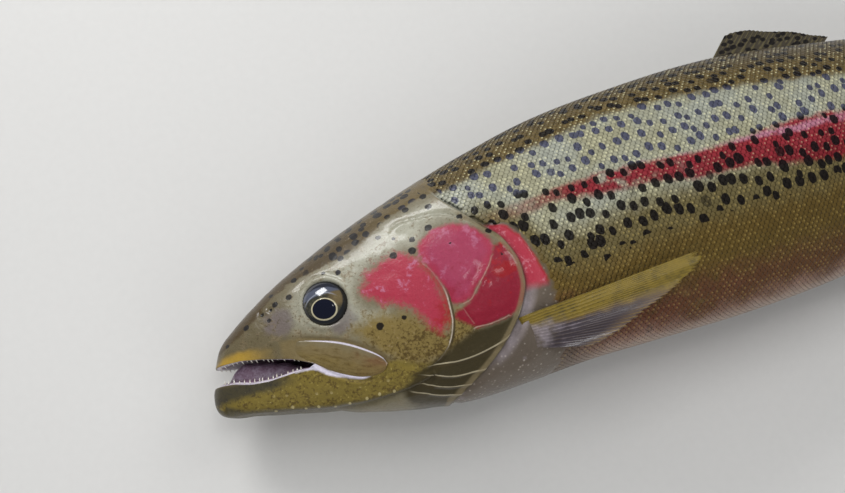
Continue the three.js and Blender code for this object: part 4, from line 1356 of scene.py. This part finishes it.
# The fish's colouring on the skin and on the scales. Each share is a step across a line or patch,
# from its signed distance in millimetres roughened by noise
def paintFish(m, scales):
    s, arc, _ = m.fields("lay")
    backEdge, stripe, goldEdge = m.fields("zoneA")
    spotEdge, scaled, fromBelly = m.fields("zoneB")
    cheek, opercle, sub = m.fields("blushA")
    shoulder, spotNear, _ = m.fields("blushB")
    preEdge, subEdge, rays = m.fields("edgesA")
    gillEdge, headTop, _ = m.fields("edgesB")
    maxArea, jaw, lipWhiteAndHighlight = m.fields("headA")
    goldCheek, branch, pale = m.fields("headB")
    snout, interEdge, subLow = m.fields("headC")
    jawEdge, level, _ = m.fields("headD")
    broad, mid, fine, tiny = m.noise(22, 3), m.noise(6, 3), m.noise(1.6, 3), m.noise(0.6, 2)
    mottle, grit = m.noise(3.2, 4, roughness=0.65), m.noise(1.15, 2.5, roughness=0.6)
    # behind the gill opening's edge, and there above the shoulder: coloured as the trunk is
    behind = gillEdge.step(-0.3, 0.5)
    onTrunk = scaled.most(behind * (level + mid * 4).step(11, 15))

    # trunk, from the copper flank up to the dark back
    dark = (backEdge + mid * 6 + fine * 3).step(-3.5, 2.5)
    shoulderward = (s + mid * 14 + fine * 6).step(182, 148)
    flank = m.over(
        "copper",
        ("gold", (goldEdge + mid * 14).step(-7, 9)),
        ("goldDark", (mid * 1.2 + mottle * 1.3 + broad * 0.6).step(0.0, 0.5) * 0.55),
        ("goldCheek", (mid * -1.2 - mottle * 1.1 + broad * 0.5).step(0.05, 0.5) * 0.5),
        ("goldDark", (s + broad * 70 + mid * 20).step(185, 265) * 0.4),
        ("olive", (spotEdge + mid * 12).step(-9, 7)),
        # the pale upper flank: partly its own silver, partly painted sheen of the sky in the wet skin
        (m.mix("pale", "coolSilverAndSheen", (broad + 0.5).step(0.35, 0.7)), (spotEdge + mid * 8).step(9, 24)),
        ("belly", (fromBelly + broad * 26 + mid * 6).step(20, 3) * 0.85),
        ("bellyPale", (fromBelly + mid * 6 + broad * 8).step(14, 2) * 0.65),
        ("granule", shoulderward * (level + mid * 5).step(-34, -48) * 0.9),
        (m.shade(hues["back"], 1.0 + mottle * 1.4 + fine * 0.5), dark),
        # darker still towards the back's ridge: partly its own darker brown, partly painted shade where the
        # back turns away from the light
        ("deepBrownAndShade", (backEdge + mid * 8).step(7, 24) * 0.75))
    # the stripe, with a paler, broken line along its upper third that is a painted highlight, and lilac at
    # its front
    band = (stripe + broad * 5 + mid * 5 + fine * 3).step(-1.6, 2.4)
    patchy = (mid * 1.6 + broad).step(0.0, 0.45) * s.step(250, 190) * 0.8
    band = band * s.step(130, 185) * (1 - patchy)
    sheenStreakAt = arc + mid * 3.5 + broad * 4 - 8.5 + s.step(190, 300) * 2.6
    broken = (fine * 1.5 + mid + 0.6).step(0.1, 0.6)
    sheenStreak = abs(sheenStreakAt).step(3.0, 0.6) * s.step(138, 165) * s.step(360, 290) * broken
    frontPale = (s + mid * 20 + broad * 20).step(225, 170) * (sheenStreakAt + fine * 2).step(-2.6, 0.8)
    stripeCol = m.over(
        "stripe",
        ("stripeDeep", (mid * 1.5 + fine - sheenStreakAt * 0.03).step(0.0, 0.5) * 0.8),
        ("stripeLilacAndHighlight", (sheenStreak * 0.85).most(frontPale * 0.7)))
    trunk = m.over(flank, (stripeCol, band * 0.96), ("tailBase", (s + mid * 16 + broad * 12).step(532, 556)))

    # upper jaw blade's bed, gold of the cheek and the lower jaw with its row of pores
    gilt = m.over(
        "goldCheek",
        ("goldDark", (mottle * 1.2 + mid * 0.5 + grit * 1.8 - (level + 22) * 0.014).step(-0.12, 0.42)),
        ("warm", (grit * -1.6 + fine).step(0.22, 0.42) * 0.6))
    maxCol = m.mix("maxilla", "goldDark", (mottle * 1.4 + mid).step(0.1, 0.5) * 0.6)
    frontTop = (level + s * 0.1 + 21.5 + mid * 3 + fine * 2).step(-1.5, 2.5) * (s + mid * 6).step(42, 26)
    pores = m.scattered("2D", m.add("CombineXYZ", {}, {0: s / 6.2, 1: jawEdge / 6.2}), 1.0, 0.35)
    jawCol = m.over(
        "jaw",
        ("goldDark", (mottle * 1.4 + grit * 1.9 + mid * 0.7).step(-0.1, 0.45) * 0.9),
        ("jawLight", (grit * -1.7 + fine * 0.8).step(0.2, 0.4) * s.step(8, 25) * 0.6),
        ("jawDark", frontTop.most((s + mid * 4).step(2.5, -4)) * 0.85),
        # darker below the jaw's ridge line, in its groove where the jaw turns under: painted shade
        ("jawDark", (jawEdge + mid).step(2.6, 0.2) * 0.7),
        ("pore", (pores + tiny * 0.05).step(0.13, 0.07) * jawEdge.step(7.5, 5) * s.step(20, 30) * 0.75))
    # reds of the cheek and of the gill cover's two plates, the lower with a blood red blotch high on it
    deepLow = (abs(preEdge) + mid * 8 + fine * 3).step(7, 1) * (level + mid * 4).step(-11, -17)
    redOn = m.over(
        "blush",
        ("blushPale", (mid * 1.3 + fine * 0.9 + grit * 0.5).step(0.1, 0.45) * 0.8),
        ("blushDeep", (mottle * 1.2 + mid - level * 0.012).step(0.25, 0.5) * 0.8),
        ("blushDeep", deepLow * 0.85))
    coverPale = mid * 1.4 + mottle * 0.9 + grit * 0.5 + level * 0.006
    coverCol = m.over(
        "opercle",
        ("blush", (opercle + mid * 5).step(4.5, 0.5) * 0.65),
        ("blushPale", coverPale.step(0.05, 0.42) * 0.65),
        ("sub", (mid * -1.3 + mottle + grit * 0.5 - level * 0.01).step(0.02, 0.5) * 0.65))
    subPale = mid * -1.5 + fine * 0.9 + grit * 0.6 + level * 0.01
    blotchS, blotchUp = (s - 138.0) / 6.5, (level + 10.0) / 3.4
    blotch = (blotchS * blotchS + blotchUp * blotchUp) ** 0.5 + mid * 1.6 + fine * 0.8
    subCol = m.over(
        "sub",
        ("subRed", (mid * 1.5 + mottle + level * 0.01).step(0.0, 0.35)),
        ("opercle", subPale.step(0.05, 0.45) * 0.7),
        ("blotch", blotch.step(1.2, 0.75) * 0.8))
    topDark = (headTop + mid * 3 + fine * 2).step(-0.8, 0.9)
    topCol = m.over(
        "headTop",
        ("back", (s + mid * 16).step(62, 118)),
        ("deepBrownAndShade", (headTop + mid * 8 + grit * 4).step(5, 15) * 0.7),
        ("warm", (grit * -1.6 + fine * 0.8 + s * 0.001).step(0.3, 0.5) * 0.5))
    # smooth skin behind the gill cover
    grains = m.scattered("3D", m.place(), 1000 / 2.3, 0.8)
    nearFin = (gillEdge + mid * 2).step(7, 3) * (level + mid * 3).step(-50, -42)
    shoulderCol = m.over(
        "shoulder",
        ("shoulderPale", (fine + mid * 1.4 + mottle).step(0.05, 0.5) * 0.8),
        ("blushDeep", (shoulder + mid * 2).step(1.7, 0.5) * 0.7))
    onShoulder = (shoulder + fine * 1.5 + mid * 2).step(-0.9, 0.9) * (level + mid * 3).step(-24, -19)
    bareCol = m.over(
        "granule",
        ("branch", (mottle * 1.5 + mid).step(0.1, 0.6) * 0.5),
        ("grain", grains.step(0.3, 0.14) * (mid * 1.5 + mottle + 0.5).step(0.1, 0.9) * 0.75),
        ("throat", nearFin.most((mid + 0.5).step(0.6, 0.8) * 0.4) * (0.6 + mid * 1.2)),
        (shoulderCol, onShoulder),
        # a painted shadow just behind the gill cover's rim
        ("deepBrownAndShade", gillEdge.step(1.9, 0.5) * 0.7))

    # the head from its ground colour up; the gill skin's rays are pale, with painted shade in the groove
    # along their lower side
    beforeEye = ((s - 37.5) * (s - 37.5) + (level - 3.5) * (level - 3.5)) ** 0.5
    behindEye = ((s - 64.0) * (s - 64.0) + (level + 5.0) * (level + 5.0)) ** 0.5
    smoke = (mottle * 1.3 + mid * 0.6 + grit * 1.6).step(0.05, 0.42) * (0.4 + s.step(62, 40) * 0.3)
    turn = m.maths("FRACT", rays + 0.5) - 0.5
    onFan = rays.step(-0.25, -0.1) * rays.step(3.3, 3.12) * (branch + 1.0).step(-0.5, 1.5)
    onFan = onFan * (s + rays * 3.2 + mid * 5).step(90, 99)
    low = (level + mid * 6).step(-6, -16) * (level + mid * 4).step(-36, -31)
    # noise that breaks up the painted highlights along the plates' edges
    highlightBreakup = 0.6 + (mid * 1.4 + fine).step(-0.2, 0.4) * 0.4
    base = m.over(
        "face",
        # the pale patch of the head: mostly painted sheen of the sky in the wet skin, partly its own silver
        ("headSilverAndSheen", (pale + mid * 6 + mottle * 3).step(-3, 6)),
        ("snout", (s + mid * 10).step(56, 30) * 0.85),
        # violet before and behind the eye; behind it, partly painted shade below the socket's folds
        ("violet", (beforeEye.least(behindEye) + mid * 7 + fine * 2).step(8.5, 3.5) * 0.6),
        ("warm", (mid * 1.2 + mottle + grit * 0.9).step(0.0, 0.4) * 0.65),
        ("branch", smoke),
        (gilt, (goldCheek + mid * 9 + grit * 7).step(-4.5, 4.5)),
        (maxCol, maxArea.step(-1.8, 1.0) * 0.9),
        ("goldSnout", abs(snout + mid * 3.0).step(4.6, 1.2) * (s + mid * 8).step(34, 15) * 0.95),
        (jawCol, (jaw + mid * 1.2).step(-1.6, 0.8)),
        ("branch", (branch + mid * 4).step(-2, 2) * 0.95),
        # painted shade in the groove below each of the gill skin's rays
        ("deepBrownAndShade", abs(turn - 0.17).step(0.17, 0.03) * onFan * 0.75),
        ("branchEdge", abs(turn + tiny * 0.03).step(0.085, 0.02) * onFan * 0.9),
        (redOn, (cheek + mid * 7 + fine * 3 + grit * 5).step(-3, 3) * 0.95),
        (coverCol, (opercle + mid * 3 + fine * 2).step(-1.4, 1.2) * 0.97),
        (subCol, (sub + mid * 2.6 + fine * 1.6).step(-1.2, 1.0) * 0.97),
        # the white band along the lip: partly its own white, partly a painted highlight on its wet edge
        ("lipWhiteAndHighlight", (lipWhiteAndHighlight + fine * 0.8).step(-0.6, 0.5)),
        (topCol, topDark),
        # seams and rims of the plates: behind the cheek plate's edge a painted shadow and a painted
        # highlight, and painted highlights along the gill cover's seams
        ("blushDeep", abs(preEdge + 1.0).step(1.2, 0.2) * 0.5 * cheek.step(-3, 0)),
        ("deepBrownAndShade", abs(preEdge + fine * 0.3 - 1.0).step(0.7, 0.2) * (0.1 + low * 0.8)),
        ("cheekRimHighlight", abs(preEdge + fine * 0.4 - 0.2).step(0.5, 0.12) * (0.12 + low * 0.85) * highlightBreakup),
        ("seam", abs(subEdge + fine * 0.3).step(0.45, 0.1) * 0.32 * highlightBreakup),
        ("seam", abs(interEdge + fine * 0.3).step(0.45, 0.1) * 0.2 * highlightBreakup),
        ("seam", abs(subLow + fine * 0.3 - 0.2).step(0.45, 0.1) * 0.6 * highlightBreakup),
        ("rim", abs(gillEdge + 1.0).step(1.5, 0.4) * level.step(27, 18) * 0.6),
        (bareCol, behind))

    # spots: cells stretched across the body, each kept or dropped and sized by its own random number
    alongCell = s / 6.1 + mid * 0.25 + fine * 0.09
    upCell = arc / 7.9 + backEdge.most(0.0) / 26.0 + broad * 0.35 + fine * 0.07
    place = m.add("CombineXYZ", {}, {0: alongCell, 1: upCell})
    cellKind = {"voronoi_dimensions": "2D", "feature": "F1", "distance": "MINKOWSKI"}
    cellShape = {"Vector": place, "Scale": 1.0, "Randomness": 0.7, "Exponent": 2.15}
    cells = m.add("TexVoronoi", cellKind, cellShape, out="Distance")
    own = m.add("TexVoronoi", cellKind, cellShape, out="Color")
    chance, grown = [m.add("SeparateColor", {}, {0: own}, out=i) for i in (0, 1)]
    wanted = (spotEdge + mid * 6).step(-3, 3) * abs(gillEdge).step(1.5, 4.5) * 0.95
    present = (wanted - chance).step(-0.02, 0.02)
    radius = 0.215 + grown * 0.11 + dark * 0.03 + arc.step(2, -3) * 0.055
    mark = (radius - cells + tiny * 0.045).step(-0.02, 0.025) * present
    trunkSpot = mark * onTrunk.most(topDark * (s + mid * 12).step(44, 66))
    # the spots on the pale upper flank and in the head's pale patch are greyed: painted sheen of the sky
    # over them
    sheenZone = backEdge.step(2.5, -2) * stripe.step(0.5, -2.5) * (arc + mid * 3).step(3, 8) * s.step(98, 112)
    headMark = (spotNear + mid * 0.5 + fine * 0.5).step(1.02, 0.78) * (1 - onTrunk)
    colour = m.over(
        base,
        (trunk, onTrunk),
        (m.mix("spot", "spotUnderSheen", sheenZone * (0.75 + grown * 0.25)), trunkSpot * 0.96),
        (m.mix("spot", "spotUnderSheen", pale.step(2, 6) * 0.15), headMark * 0.95))

    if scales:
        along, across, tone = m.fields("tile")
        # a small pale fleck lies near the rear of most scales: partly the scale's own fleck, partly a
        # painted glint
        fleckAt = (((along - 0.72) * (along - 0.72)) * 15.0 + (across * across) * 3.4) ** 0.5
        fleckAndGlint = (fleckAt + fine * 0.3).step(0.6, 0.2) * (tone * 1.4 + mid * 2.2 + mottle).step(0.55, 1.15)
        bright = 0.97 + (tone - 0.5) * 0.2 + fine * 0.3 + mid * 0.3
        flash = fleckAndGlint * (1 - trunkSpot) * (1 - band * 0.6)
        glint = m.mix("glintGold", "glintPale", (spotEdge + mid * 8).step(6, 20))
        flash = flash * (0.5 + (spotEdge + mid * 8).step(0, 16) * 0.22)
        colour = m.mix(m.shade(colour, bright), glint, flash)
    else:
        colour = m.shade(colour, 0.98 + fine * 0.24 + tiny * 0.2 + broad * 0.12)
        speck = (tiny * 1.6 + fine).step(0.42, 0.6) * (1 - behind) * 0.35
        colour = m.mix(colour, "speck", speck * (goldCheek.most(jaw).most(branch)).step(-2, 2))
    return colour, mid, fine, tiny


# Skin: the fish's colouring, then the mouth's lining by how far in it lies, and dark red under the gill
# cover, partly its own red and partly painted shade in the gill slit
def skinFinish():
    m = Finish("wetSkin", roughness=0.36, coatWeight=0.32, coatRoughness=0.1, specular=0.28)
    colour, mid, fine, tiny = paintFish(m, False)
    inside = m.field("inside")
    lining = m.over("mouth", ("mouthDeep", (mid + 0.5).step(0.35, 0.75)), ("gum", inside.step(0.93, 0.6)))
    colour = m.over(colour, (lining, inside.step(0.1, 0.5)), ("under", m.field("under")))
    ruffle = m.noise(2.4, 3, roughness=0.6)
    normal = m.bump(fine * 0.6 + tiny * 0.4 + ruffle * 1.1 + mid * 0.9, 0.42, 0.4)
    return m.finish(colour, 0.36 + fine * 0.25 + mid * 0.14, normal)


# Scales: the same colouring with each tile's own tone
def scaleFinish():
    m = Finish("wetScales", roughness=0.38, coatWeight=0.12, coatRoughness=0.16, specular=0.2)
    colour, mid, fine, tiny = paintFish(m, True)
    return m.finish(colour, 0.38 + fine * 0.2 + mid * 0.1, m.bump(fine * 0.5 + tiny * 0.5, 0.2, 0.1))


# Upper jaw blade: t runs along it and c down it
def maxillaFinish():
    m = Finish("upperJawBlade", roughness=0.4, coatWeight=0.25, coatRoughness=0.12, specular=0.3)
    t, c, _ = m.fields("blade")
    mid, fine, tiny = m.noise(5, 3), m.noise(1.4, 3), m.noise(0.6, 2)
    grain = m.noise(1.3, 3, vector=m.add("CombineXYZ", {}, {0: t * 0.012, 1: c * 0.014}))
    lowGold = m.mix("goldCheek", "goldDark", (grain + tiny).step(-0.1, 0.4))
    colour = m.over(
        "maxilla",
        ("goldDark", (mid * 1.2 + grain * 1.4 + c * 0.3).step(0.0, 0.55) * 0.8),
        ("maxillaRear", (t + mid * 0.5).step(0.6, 0.95) * 0.5),
        (lowGold, (c + mid * 0.4).step(0.4, 0.75) * 0.6),
        ("face", (c + mid * 0.4).step(0.35, 0.05) * 0.5),
        ("snout", t.step(0.26, 0.05) * 0.9),
        ("maxillaFleck", grain.step(0.14, 0.3) * c.step(0.75, 0.3) * 0.5),
        # a painted highlight along the blade's upper edge
        ("lipWhiteAndHighlight", abs(c - 0.04).step(0.045, 0.012) * t.step(0.2, 0.36) * 0.9),
        ("seam", t.step(0.965, 0.99) * 0.5))
    colour = m.shade(colour, 1.0 + fine * 0.35 + tiny * 0.25)
    return m.finish(colour, 0.38 + fine * 0.2, m.bump(grain + tiny * 0.5, 0.35, 0.25))


eyeHues = {
    "iris": (0.030, 0.030, 0.022), "irisLight": (0.125, 0.112, 0.066), "rear": (0.20, 0.14, 0.06),
    # the crescent's blue-grey and the arc's pale are painted reflection of the sky and painted highlight
    "crescentSkyReflection": (0.085, 0.096, 0.135), "arc": (0.34, 0.36, 0.42), "arcEdge": (0.012, 0.013, 0.02),
    "limb": (0.010, 0.011, 0.014), "ring": (0.58, 0.52, 0.34), "pupil": (0.002, 0.003, 0.012),
}


# The iris and pupil are painted by distance from their own centres on the globe
def eyeFinish():
    m = Finish("eyeGlobe", roughness=0.15, coatWeight=0.8, coatRoughness=0.06, specular=0.3)
    x, y, _ = m.fields("globe")
    px, py = eyes["pupil"]
    mid, fine = m.noise(1.8, 4), m.noise(0.5, 3)
    # the pupil is a little wider than tall, and drawn to a blunt point in front
    lean = (x - px) * (y - py)
    toPupil = ((x - px) * (x - px) * 0.84 + (y - py) * (y - py) * 1.18 + lean * 0.16) ** 0.5
    fromMiddle = (x * x + y * y) ** 0.5
    edge = eyes["pupilRadius"]
    ringAt = edge + eyes["ringWidth"] * 0.5
    rearGold = (x + mid * 3).step(1.5, 5.5) * abs(y + 1.0).step(5.5, 2.0)
    colour = m.over(
        eyeHues["iris"],
        (eyeHues["irisLight"], (fine * 1.4 + mid * 1.2).step(-0.1, 0.55)),
        (eyeHues["rear"], rearGold * 0.6),
        # the blue-grey crescent over the upper iris is painted reflection of the sky in the cornea
        (eyeHues["crescentSkyReflection"], (y + mid * 1.2).step(1.6, 2.6) * 0.9),
        # a pale arc in it is a painted highlight
        (eyeHues["arc"], abs(toPupil + mid * 0.5 - 8.0).step(0.5, 0.1) * y.step(-1, 2) * 0.6),
        (eyeHues["arcEdge"], (toPupil + mid).step(10.8, 11.6) * y.step(2.0, 4.0) * 0.9),
        (eyeHues["limb"], (fromMiddle + mid * 0.6).step(8.3, 9.0) * 0.95),
        (eyeHues["ring"], abs(toPupil + mid * 0.25 - ringAt).step(0.42, 0.15) * 0.85),
        (eyeHues["pupil"], toPupil.step(edge + 0.12, edge - 0.1)))
    return m.finish(colour, 0.12 + fine * 0.1)


# web and bone of each kind of fin, then the colours of the pectoral fins' front and rear; the rear's grey is
# partly the fin's own and partly painted shade and lilac sheen
finHues = {
    "spotted": ((0.055, 0.045, 0.030), (0.115, 0.095, 0.045)),
    "golden": ((0.10, 0.072, 0.06), (0.24, 0.15, 0.035)),
    "plain": ((0.105, 0.058, 0.030), (0.26, 0.165, 0.065)),
    "adipose": ((0.12, 0.10, 0.05), (0.16, 0.13, 0.06)),
    "lead": ((0.22, 0.155, 0.022), (0.085, 0.066, 0.016)),
    "greyShadeAndSheen": ((0.040, 0.032, 0.040), (0.135, 0.115, 0.145)),
    "whiteEdge": (0.50, 0.44, 0.38),
}


# Bone shows where a wave across the rays is high; it doubles where they split and again where they fork:
# wave = (cos(ray) * (1 - split) + cos(2 ray) * split) * (1 - 0.6 * fork) + cos(4 ray) * 0.6 * fork
def finFinish(kind):
    m = Finish("fin_" + kind, roughness=0.4, coatWeight=0.2, coatRoughness=0.14, specular=0.3)
    u, v, ray = m.fields("fan")
    mid, fine, tiny = m.noise(5, 3), m.noise(1.4, 3), m.noise(0.6, 2)
    line1, line2, line4 = [m.maths("COSINE", ray * (turns * np.pi)) for turns in (2, 4, 8)]
    split = v.step(0.35, 0.6)
    fork = v.step(0.68, 0.85)
    wave = (line1 * (1 - split) + line2 * split) * (1 - fork * 0.6) + line4 * fork * 0.6
    bars = m.maths("SINE", v * 150 + ray * 2.0)
    web, bone = finHues[kind]
    colour = m.mix(web, bone, (wave + fine * 0.8).step(-0.2, 0.8) * 0.85)
    if kind == "golden":
        leadCol = m.mix(*finHues["lead"], (wave * 0.3 + mid * 1.5 + fine).step(-0.1, 0.5))
        shadedRearCol = m.mix(*finHues["greyShadeAndSheen"], (mid * 1.6 + wave * 0.2).step(0.0, 0.5) * v.step(0.75, 0.25))
        fleshy = m.mix("granule", "throat", (mid + 0.5).step(0.3, 0.7))
        colour = m.over(
            colour,
            (leadCol, (u + mid * 0.12).step(0.56, 0.36) * 0.9),
            # the pectoral fin's rear: partly its own grey, partly painted shade and lilac sheen
            (shadedRearCol, (u + mid * 0.15).step(0.44, 0.58) * v.step(1.02, 0.75) * 0.9),
            (fleshy, v.step(0.34, 0.06) * (u + mid * 0.12).step(0.22, 0.5) * 0.85))
    if kind == "plain":
        colour = m.mix(colour, finHues["whiteEdge"], u.step(0.07, 0.02) * 0.8)
    if kind in ("spotted", "adipose"):
        # rows of short dark dashes cross the rays
        cellSize = (1000 / 4.9, 1000 / 3.5, 1.0)
        laid = m.add("VectorMath", {"operation": "MULTIPLY"}, {0: m.place(), 1: cellSize})
        cells = m.scattered("2D", laid, 1.0, 0.7)
        colour = m.mix(colour, "spot", (cells + mid * 0.35 + fine * 0.12).step(0.37, 0.29) * 0.92)
    colour = m.shade(colour, 1.0 + fine * 0.3 + tiny * 0.2 + bars * wave * 0.05)
    height = wave * 0.4 + bars * wave.most(0.0) * 0.12 + fine * 0.3
    return m.finish(colour, 0.38 + fine * 0.2, m.bump(height, 0.35, 0.25))


mouthHues = {"enamel": (0.72, 0.69, 0.62), "enamelWorn": (0.55, 0.48, 0.38), "tongue": (0.24, 0.15, 0.21),
             "tonguePale": (0.40, 0.32, 0.40)}


# Ivory, worn darker in clouds
def toothFinish():
    m = Finish("toothEnamel", coatWeight=0.5, coatRoughness=0.08)
    fine = m.noise(0.9, 2)
    colour = m.mix(mouthHues["enamel"], mouthHues["enamelWorn"], (fine + 0.5).step(0.3, 0.8))
    return m.finish(colour, 0.28 + fine * 0.15)


# The tongue darkens down from a level that leans with the mouth: painted shade deep in the mouth
def tongueFinish():
    m = Finish("mouthFlesh", coatWeight=0.7, coatRoughness=0.08)
    mid, fine = m.noise(4, 3), m.noise(1.0, 3)
    x, y = [m.add("SeparateXYZ", {}, {0: m.place()}, out=i) for i in (0, 1)]
    up = (y + x * 0.45) * 1000
    colour = m.over(
        mouthHues["tongue"],
        (mouthHues["tonguePale"], (mid + fine * 0.6).step(-0.15, 0.35)),
        ("mouthDeep", (up + mid * 3 + (shiftX * 0.45 + 8)).step(1.5, -1.5) * 0.85))
    return m.finish(colour, 0.3 + fine * 0.2, m.bump(mid + fine * 0.5, 0.4, 0.4))


# The camera looks down at a place on the head and is turned about its own axis
view = {
    "aim": (107.29, 17.98, 35.8),   # side-view place of the view's centre, and its height
    "distance": 574.25, "alpha": 11.0, "beta": 12.0, "roll": 18.0, "fieldOfView": 38.0,
}


# The camera's back axis = (-sin a cos b, -sin b, cos a cos b); right and up are turned by the roll about it
def makeCamera():
    a, b, r = [np.radians(view[k]) for k in ("alpha", "beta", "roll")]
    back = Vector((-np.sin(a) * np.cos(b), -np.sin(b), np.cos(a) * np.cos(b)))
    flat = Vector((1, 0, 0))
    right0 = (flat - back * flat.dot(back)).normalized()
    up0 = back.cross(right0)
    right = right0 * np.cos(r) - up0 * np.sin(r)
    up = right0 * np.sin(r) + up0 * np.cos(r)
    s, h, high = view["aim"]
    aim = Vector(((s - shiftX) * mm, (h - shiftY) * mm, high * mm))
    place = aim + back * view["distance"] * mm
    data = bpy.data.cameras.new("camera")
    data.sensor_width = 36
    data.sensor_fit = "HORIZONTAL"
    data.lens = 18 / np.tan(np.radians(view["fieldOfView"] / 2))
    data.clip_start = 0.01
    camera = bpy.data.objects.new("camera", data)
    turn = Matrix((right, up, back)).transposed().to_4x4()
    camera.matrix_world = Matrix.Translation(place) @ turn
    bpy.context.scene.collection.objects.link(camera)
    bpy.context.scene.camera = camera


# Six soft boxes around the fish: name, place, width, height, power, whether it is mirrored in wet skin
lights = [
    ("keyBox", (-0.5, 0.95, 0.62), 0.5, 0.35, 7.6, True),
    ("topBox", (-0.2, 0.3, 1.2), 0.8, 0.8, 4.6, False),
    ("sideBox", (0.75, 0.45, 0.9), 0.7, 0.7, 4.0, False),
    ("frontBox", (-0.75, -0.6, 0.7), 0.8, 0.5, 3.2, False),
    ("fillBox", (0.3, -0.9, 0.6), 0.9, 0.5, 2.4, False),
    ("glintBox", (-0.15, 0.12, 1.3), 0.10, 0.10, 0.3, True),
]


roomHues = {"floor": (0.62, 0.61, 0.59), "floorPale": (0.68, 0.67, 0.65), "sky": (0.86, 0.92, 1.0, 1)}


# A pale floor with faint clouds, the soft boxes turned to the fish, and a dim sky
def makeRoom():
    bpy.ops.mesh.primitive_plane_add(size=8)
    floor = bpy.context.object
    floor.name = "floor"
    m = Finish("paleFloor", roughness=0.75)
    clouds = m.mix(roomHues["floor"], roomHues["floorPale"], m.noise(300, 3) + 0.5)
    floor.data.materials.append(m.finish(m.shade(clouds, 1.0 + m.noise(4, 3) * 0.05)))
    for name, place, width, height, power, mirrored in lights:
        data = bpy.data.lights.new(name, "AREA")
        data.shape, data.size, data.size_y, data.energy = "RECTANGLE", width, height, power
        box = bpy.data.objects.new(name, data)
        box.location = place
        box.rotation_euler = (Vector((-0.12, 0, 0.03)) - Vector(place)).to_track_quat("-Z", "Y").to_euler()
        box.visible_glossy = mirrored
        bpy.context.scene.collection.objects.link(box)
    world = bpy.data.worlds.new("studio")
    bpy.context.scene.world = world
    world.use_nodes = True
    sky = world.node_tree.nodes["Background"]
    sky.inputs[0].default_value = roomHues["sky"]
    sky.inputs[1].default_value = 0.17


# Turns a closed mesh the right way out by the sign of its volume: a sixth of the sum of
# p0 . (p1 x p2) over its triangles
def faceOut(obj):
    mesh = obj.data
    mesh.calc_loop_triangles()
    tri = np.zeros(len(mesh.loop_triangles) * 3, np.int32)
    mesh.loop_triangles.foreach_get("vertices", tri)
    co = np.zeros(len(mesh.vertices) * 3, np.float32)
    mesh.vertices.foreach_get("co", co)
    p = co.reshape(-1, 3).astype(float)[tri.reshape(-1, 3)]
    volume = np.einsum("ij,ij->i", p[:, 0], np.cross(p[:, 1], p[:, 2])).sum() / 6
    if volume < 0:
        mesh.flip_normals()
        mesh.update()
    return len(mesh.loop_triangles), abs(volume)


# Faces a piece outward, gives it its material, says what it rides on and hides the frame's parts that it
# stands for
def settle(obj, material, slot, *nodes):
    tris, volume = faceOut(obj)
    obj.data.materials.append(material)
    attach(obj, "root")
    if nodes:
        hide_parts(*nodes)
    print(f"{obj.name}: {tris} triangles, {volume * 1e9:.0f} mm3")


bpy.context.scene.view_settings.view_transform = "Standard"
makeCamera()
makeRoom()
wetSkin = skinFinish()
settle(makeSkin(), wetSkin, "skin", "head", "lower_jaw", "gill_cover_left", "gill_cover_right", "throat",
       "trunk_front", "trunk_middle", "trunk_rear", "tail_stalk")
wetScales = scaleFinish()
roots = scaleRoots()
strips = {"back": (21, 80), "upper": (1, 20), "lower": (-20, 0), "belly": (-90, -21)}
sides = (("left", 1), ("right", -1))
for sideName, side in sides:
    for strip, (low, high) in strips.items():
        tiles = makeScales(f"scales_{strip}_{sideName}", side, low, high, roots, 220 + low + side)
        settle(tiles, wetScales, "skin")
bladeFinish, globeFinish = maxillaFinish(), eyeFinish()
for sideName, side in sides:
    settle(makeEye(side, f"globe_{sideName}"), globeFinish, "eye", f"eye_{sideName}")
    settle(makeMaxilla(side, f"blade_{sideName}"), bladeFinish, "jaw", f"maxilla_{sideName}")
finKinds = {"dorsal_fin": "spotted", "caudal_fin": "spotted", "adipose_fin": "adipose", "anal_fin": "plain",
            "pectoral_fin_left": "golden", "pectoral_fin_right": "golden", "pelvic_fin_left": "plain",
            "pelvic_fin_right": "plain"}
finFinishes = {kind: finFinish(kind) for kind in ("spotted", "golden", "plain", "adipose")}
for name, kind in finKinds.items():
    settle(makeFin(name), finFinishes[kind], "fin", name)
enamel = toothFinish()
settle(makeTeeth("teeth_upper", "upperLip", -1), enamel, "mouth")
settle(makeTeeth("teeth_lower", "lowerLip", 1), enamel, "mouth")
settle(makeTongue(), tongueFinish(), "mouth", "tongue")
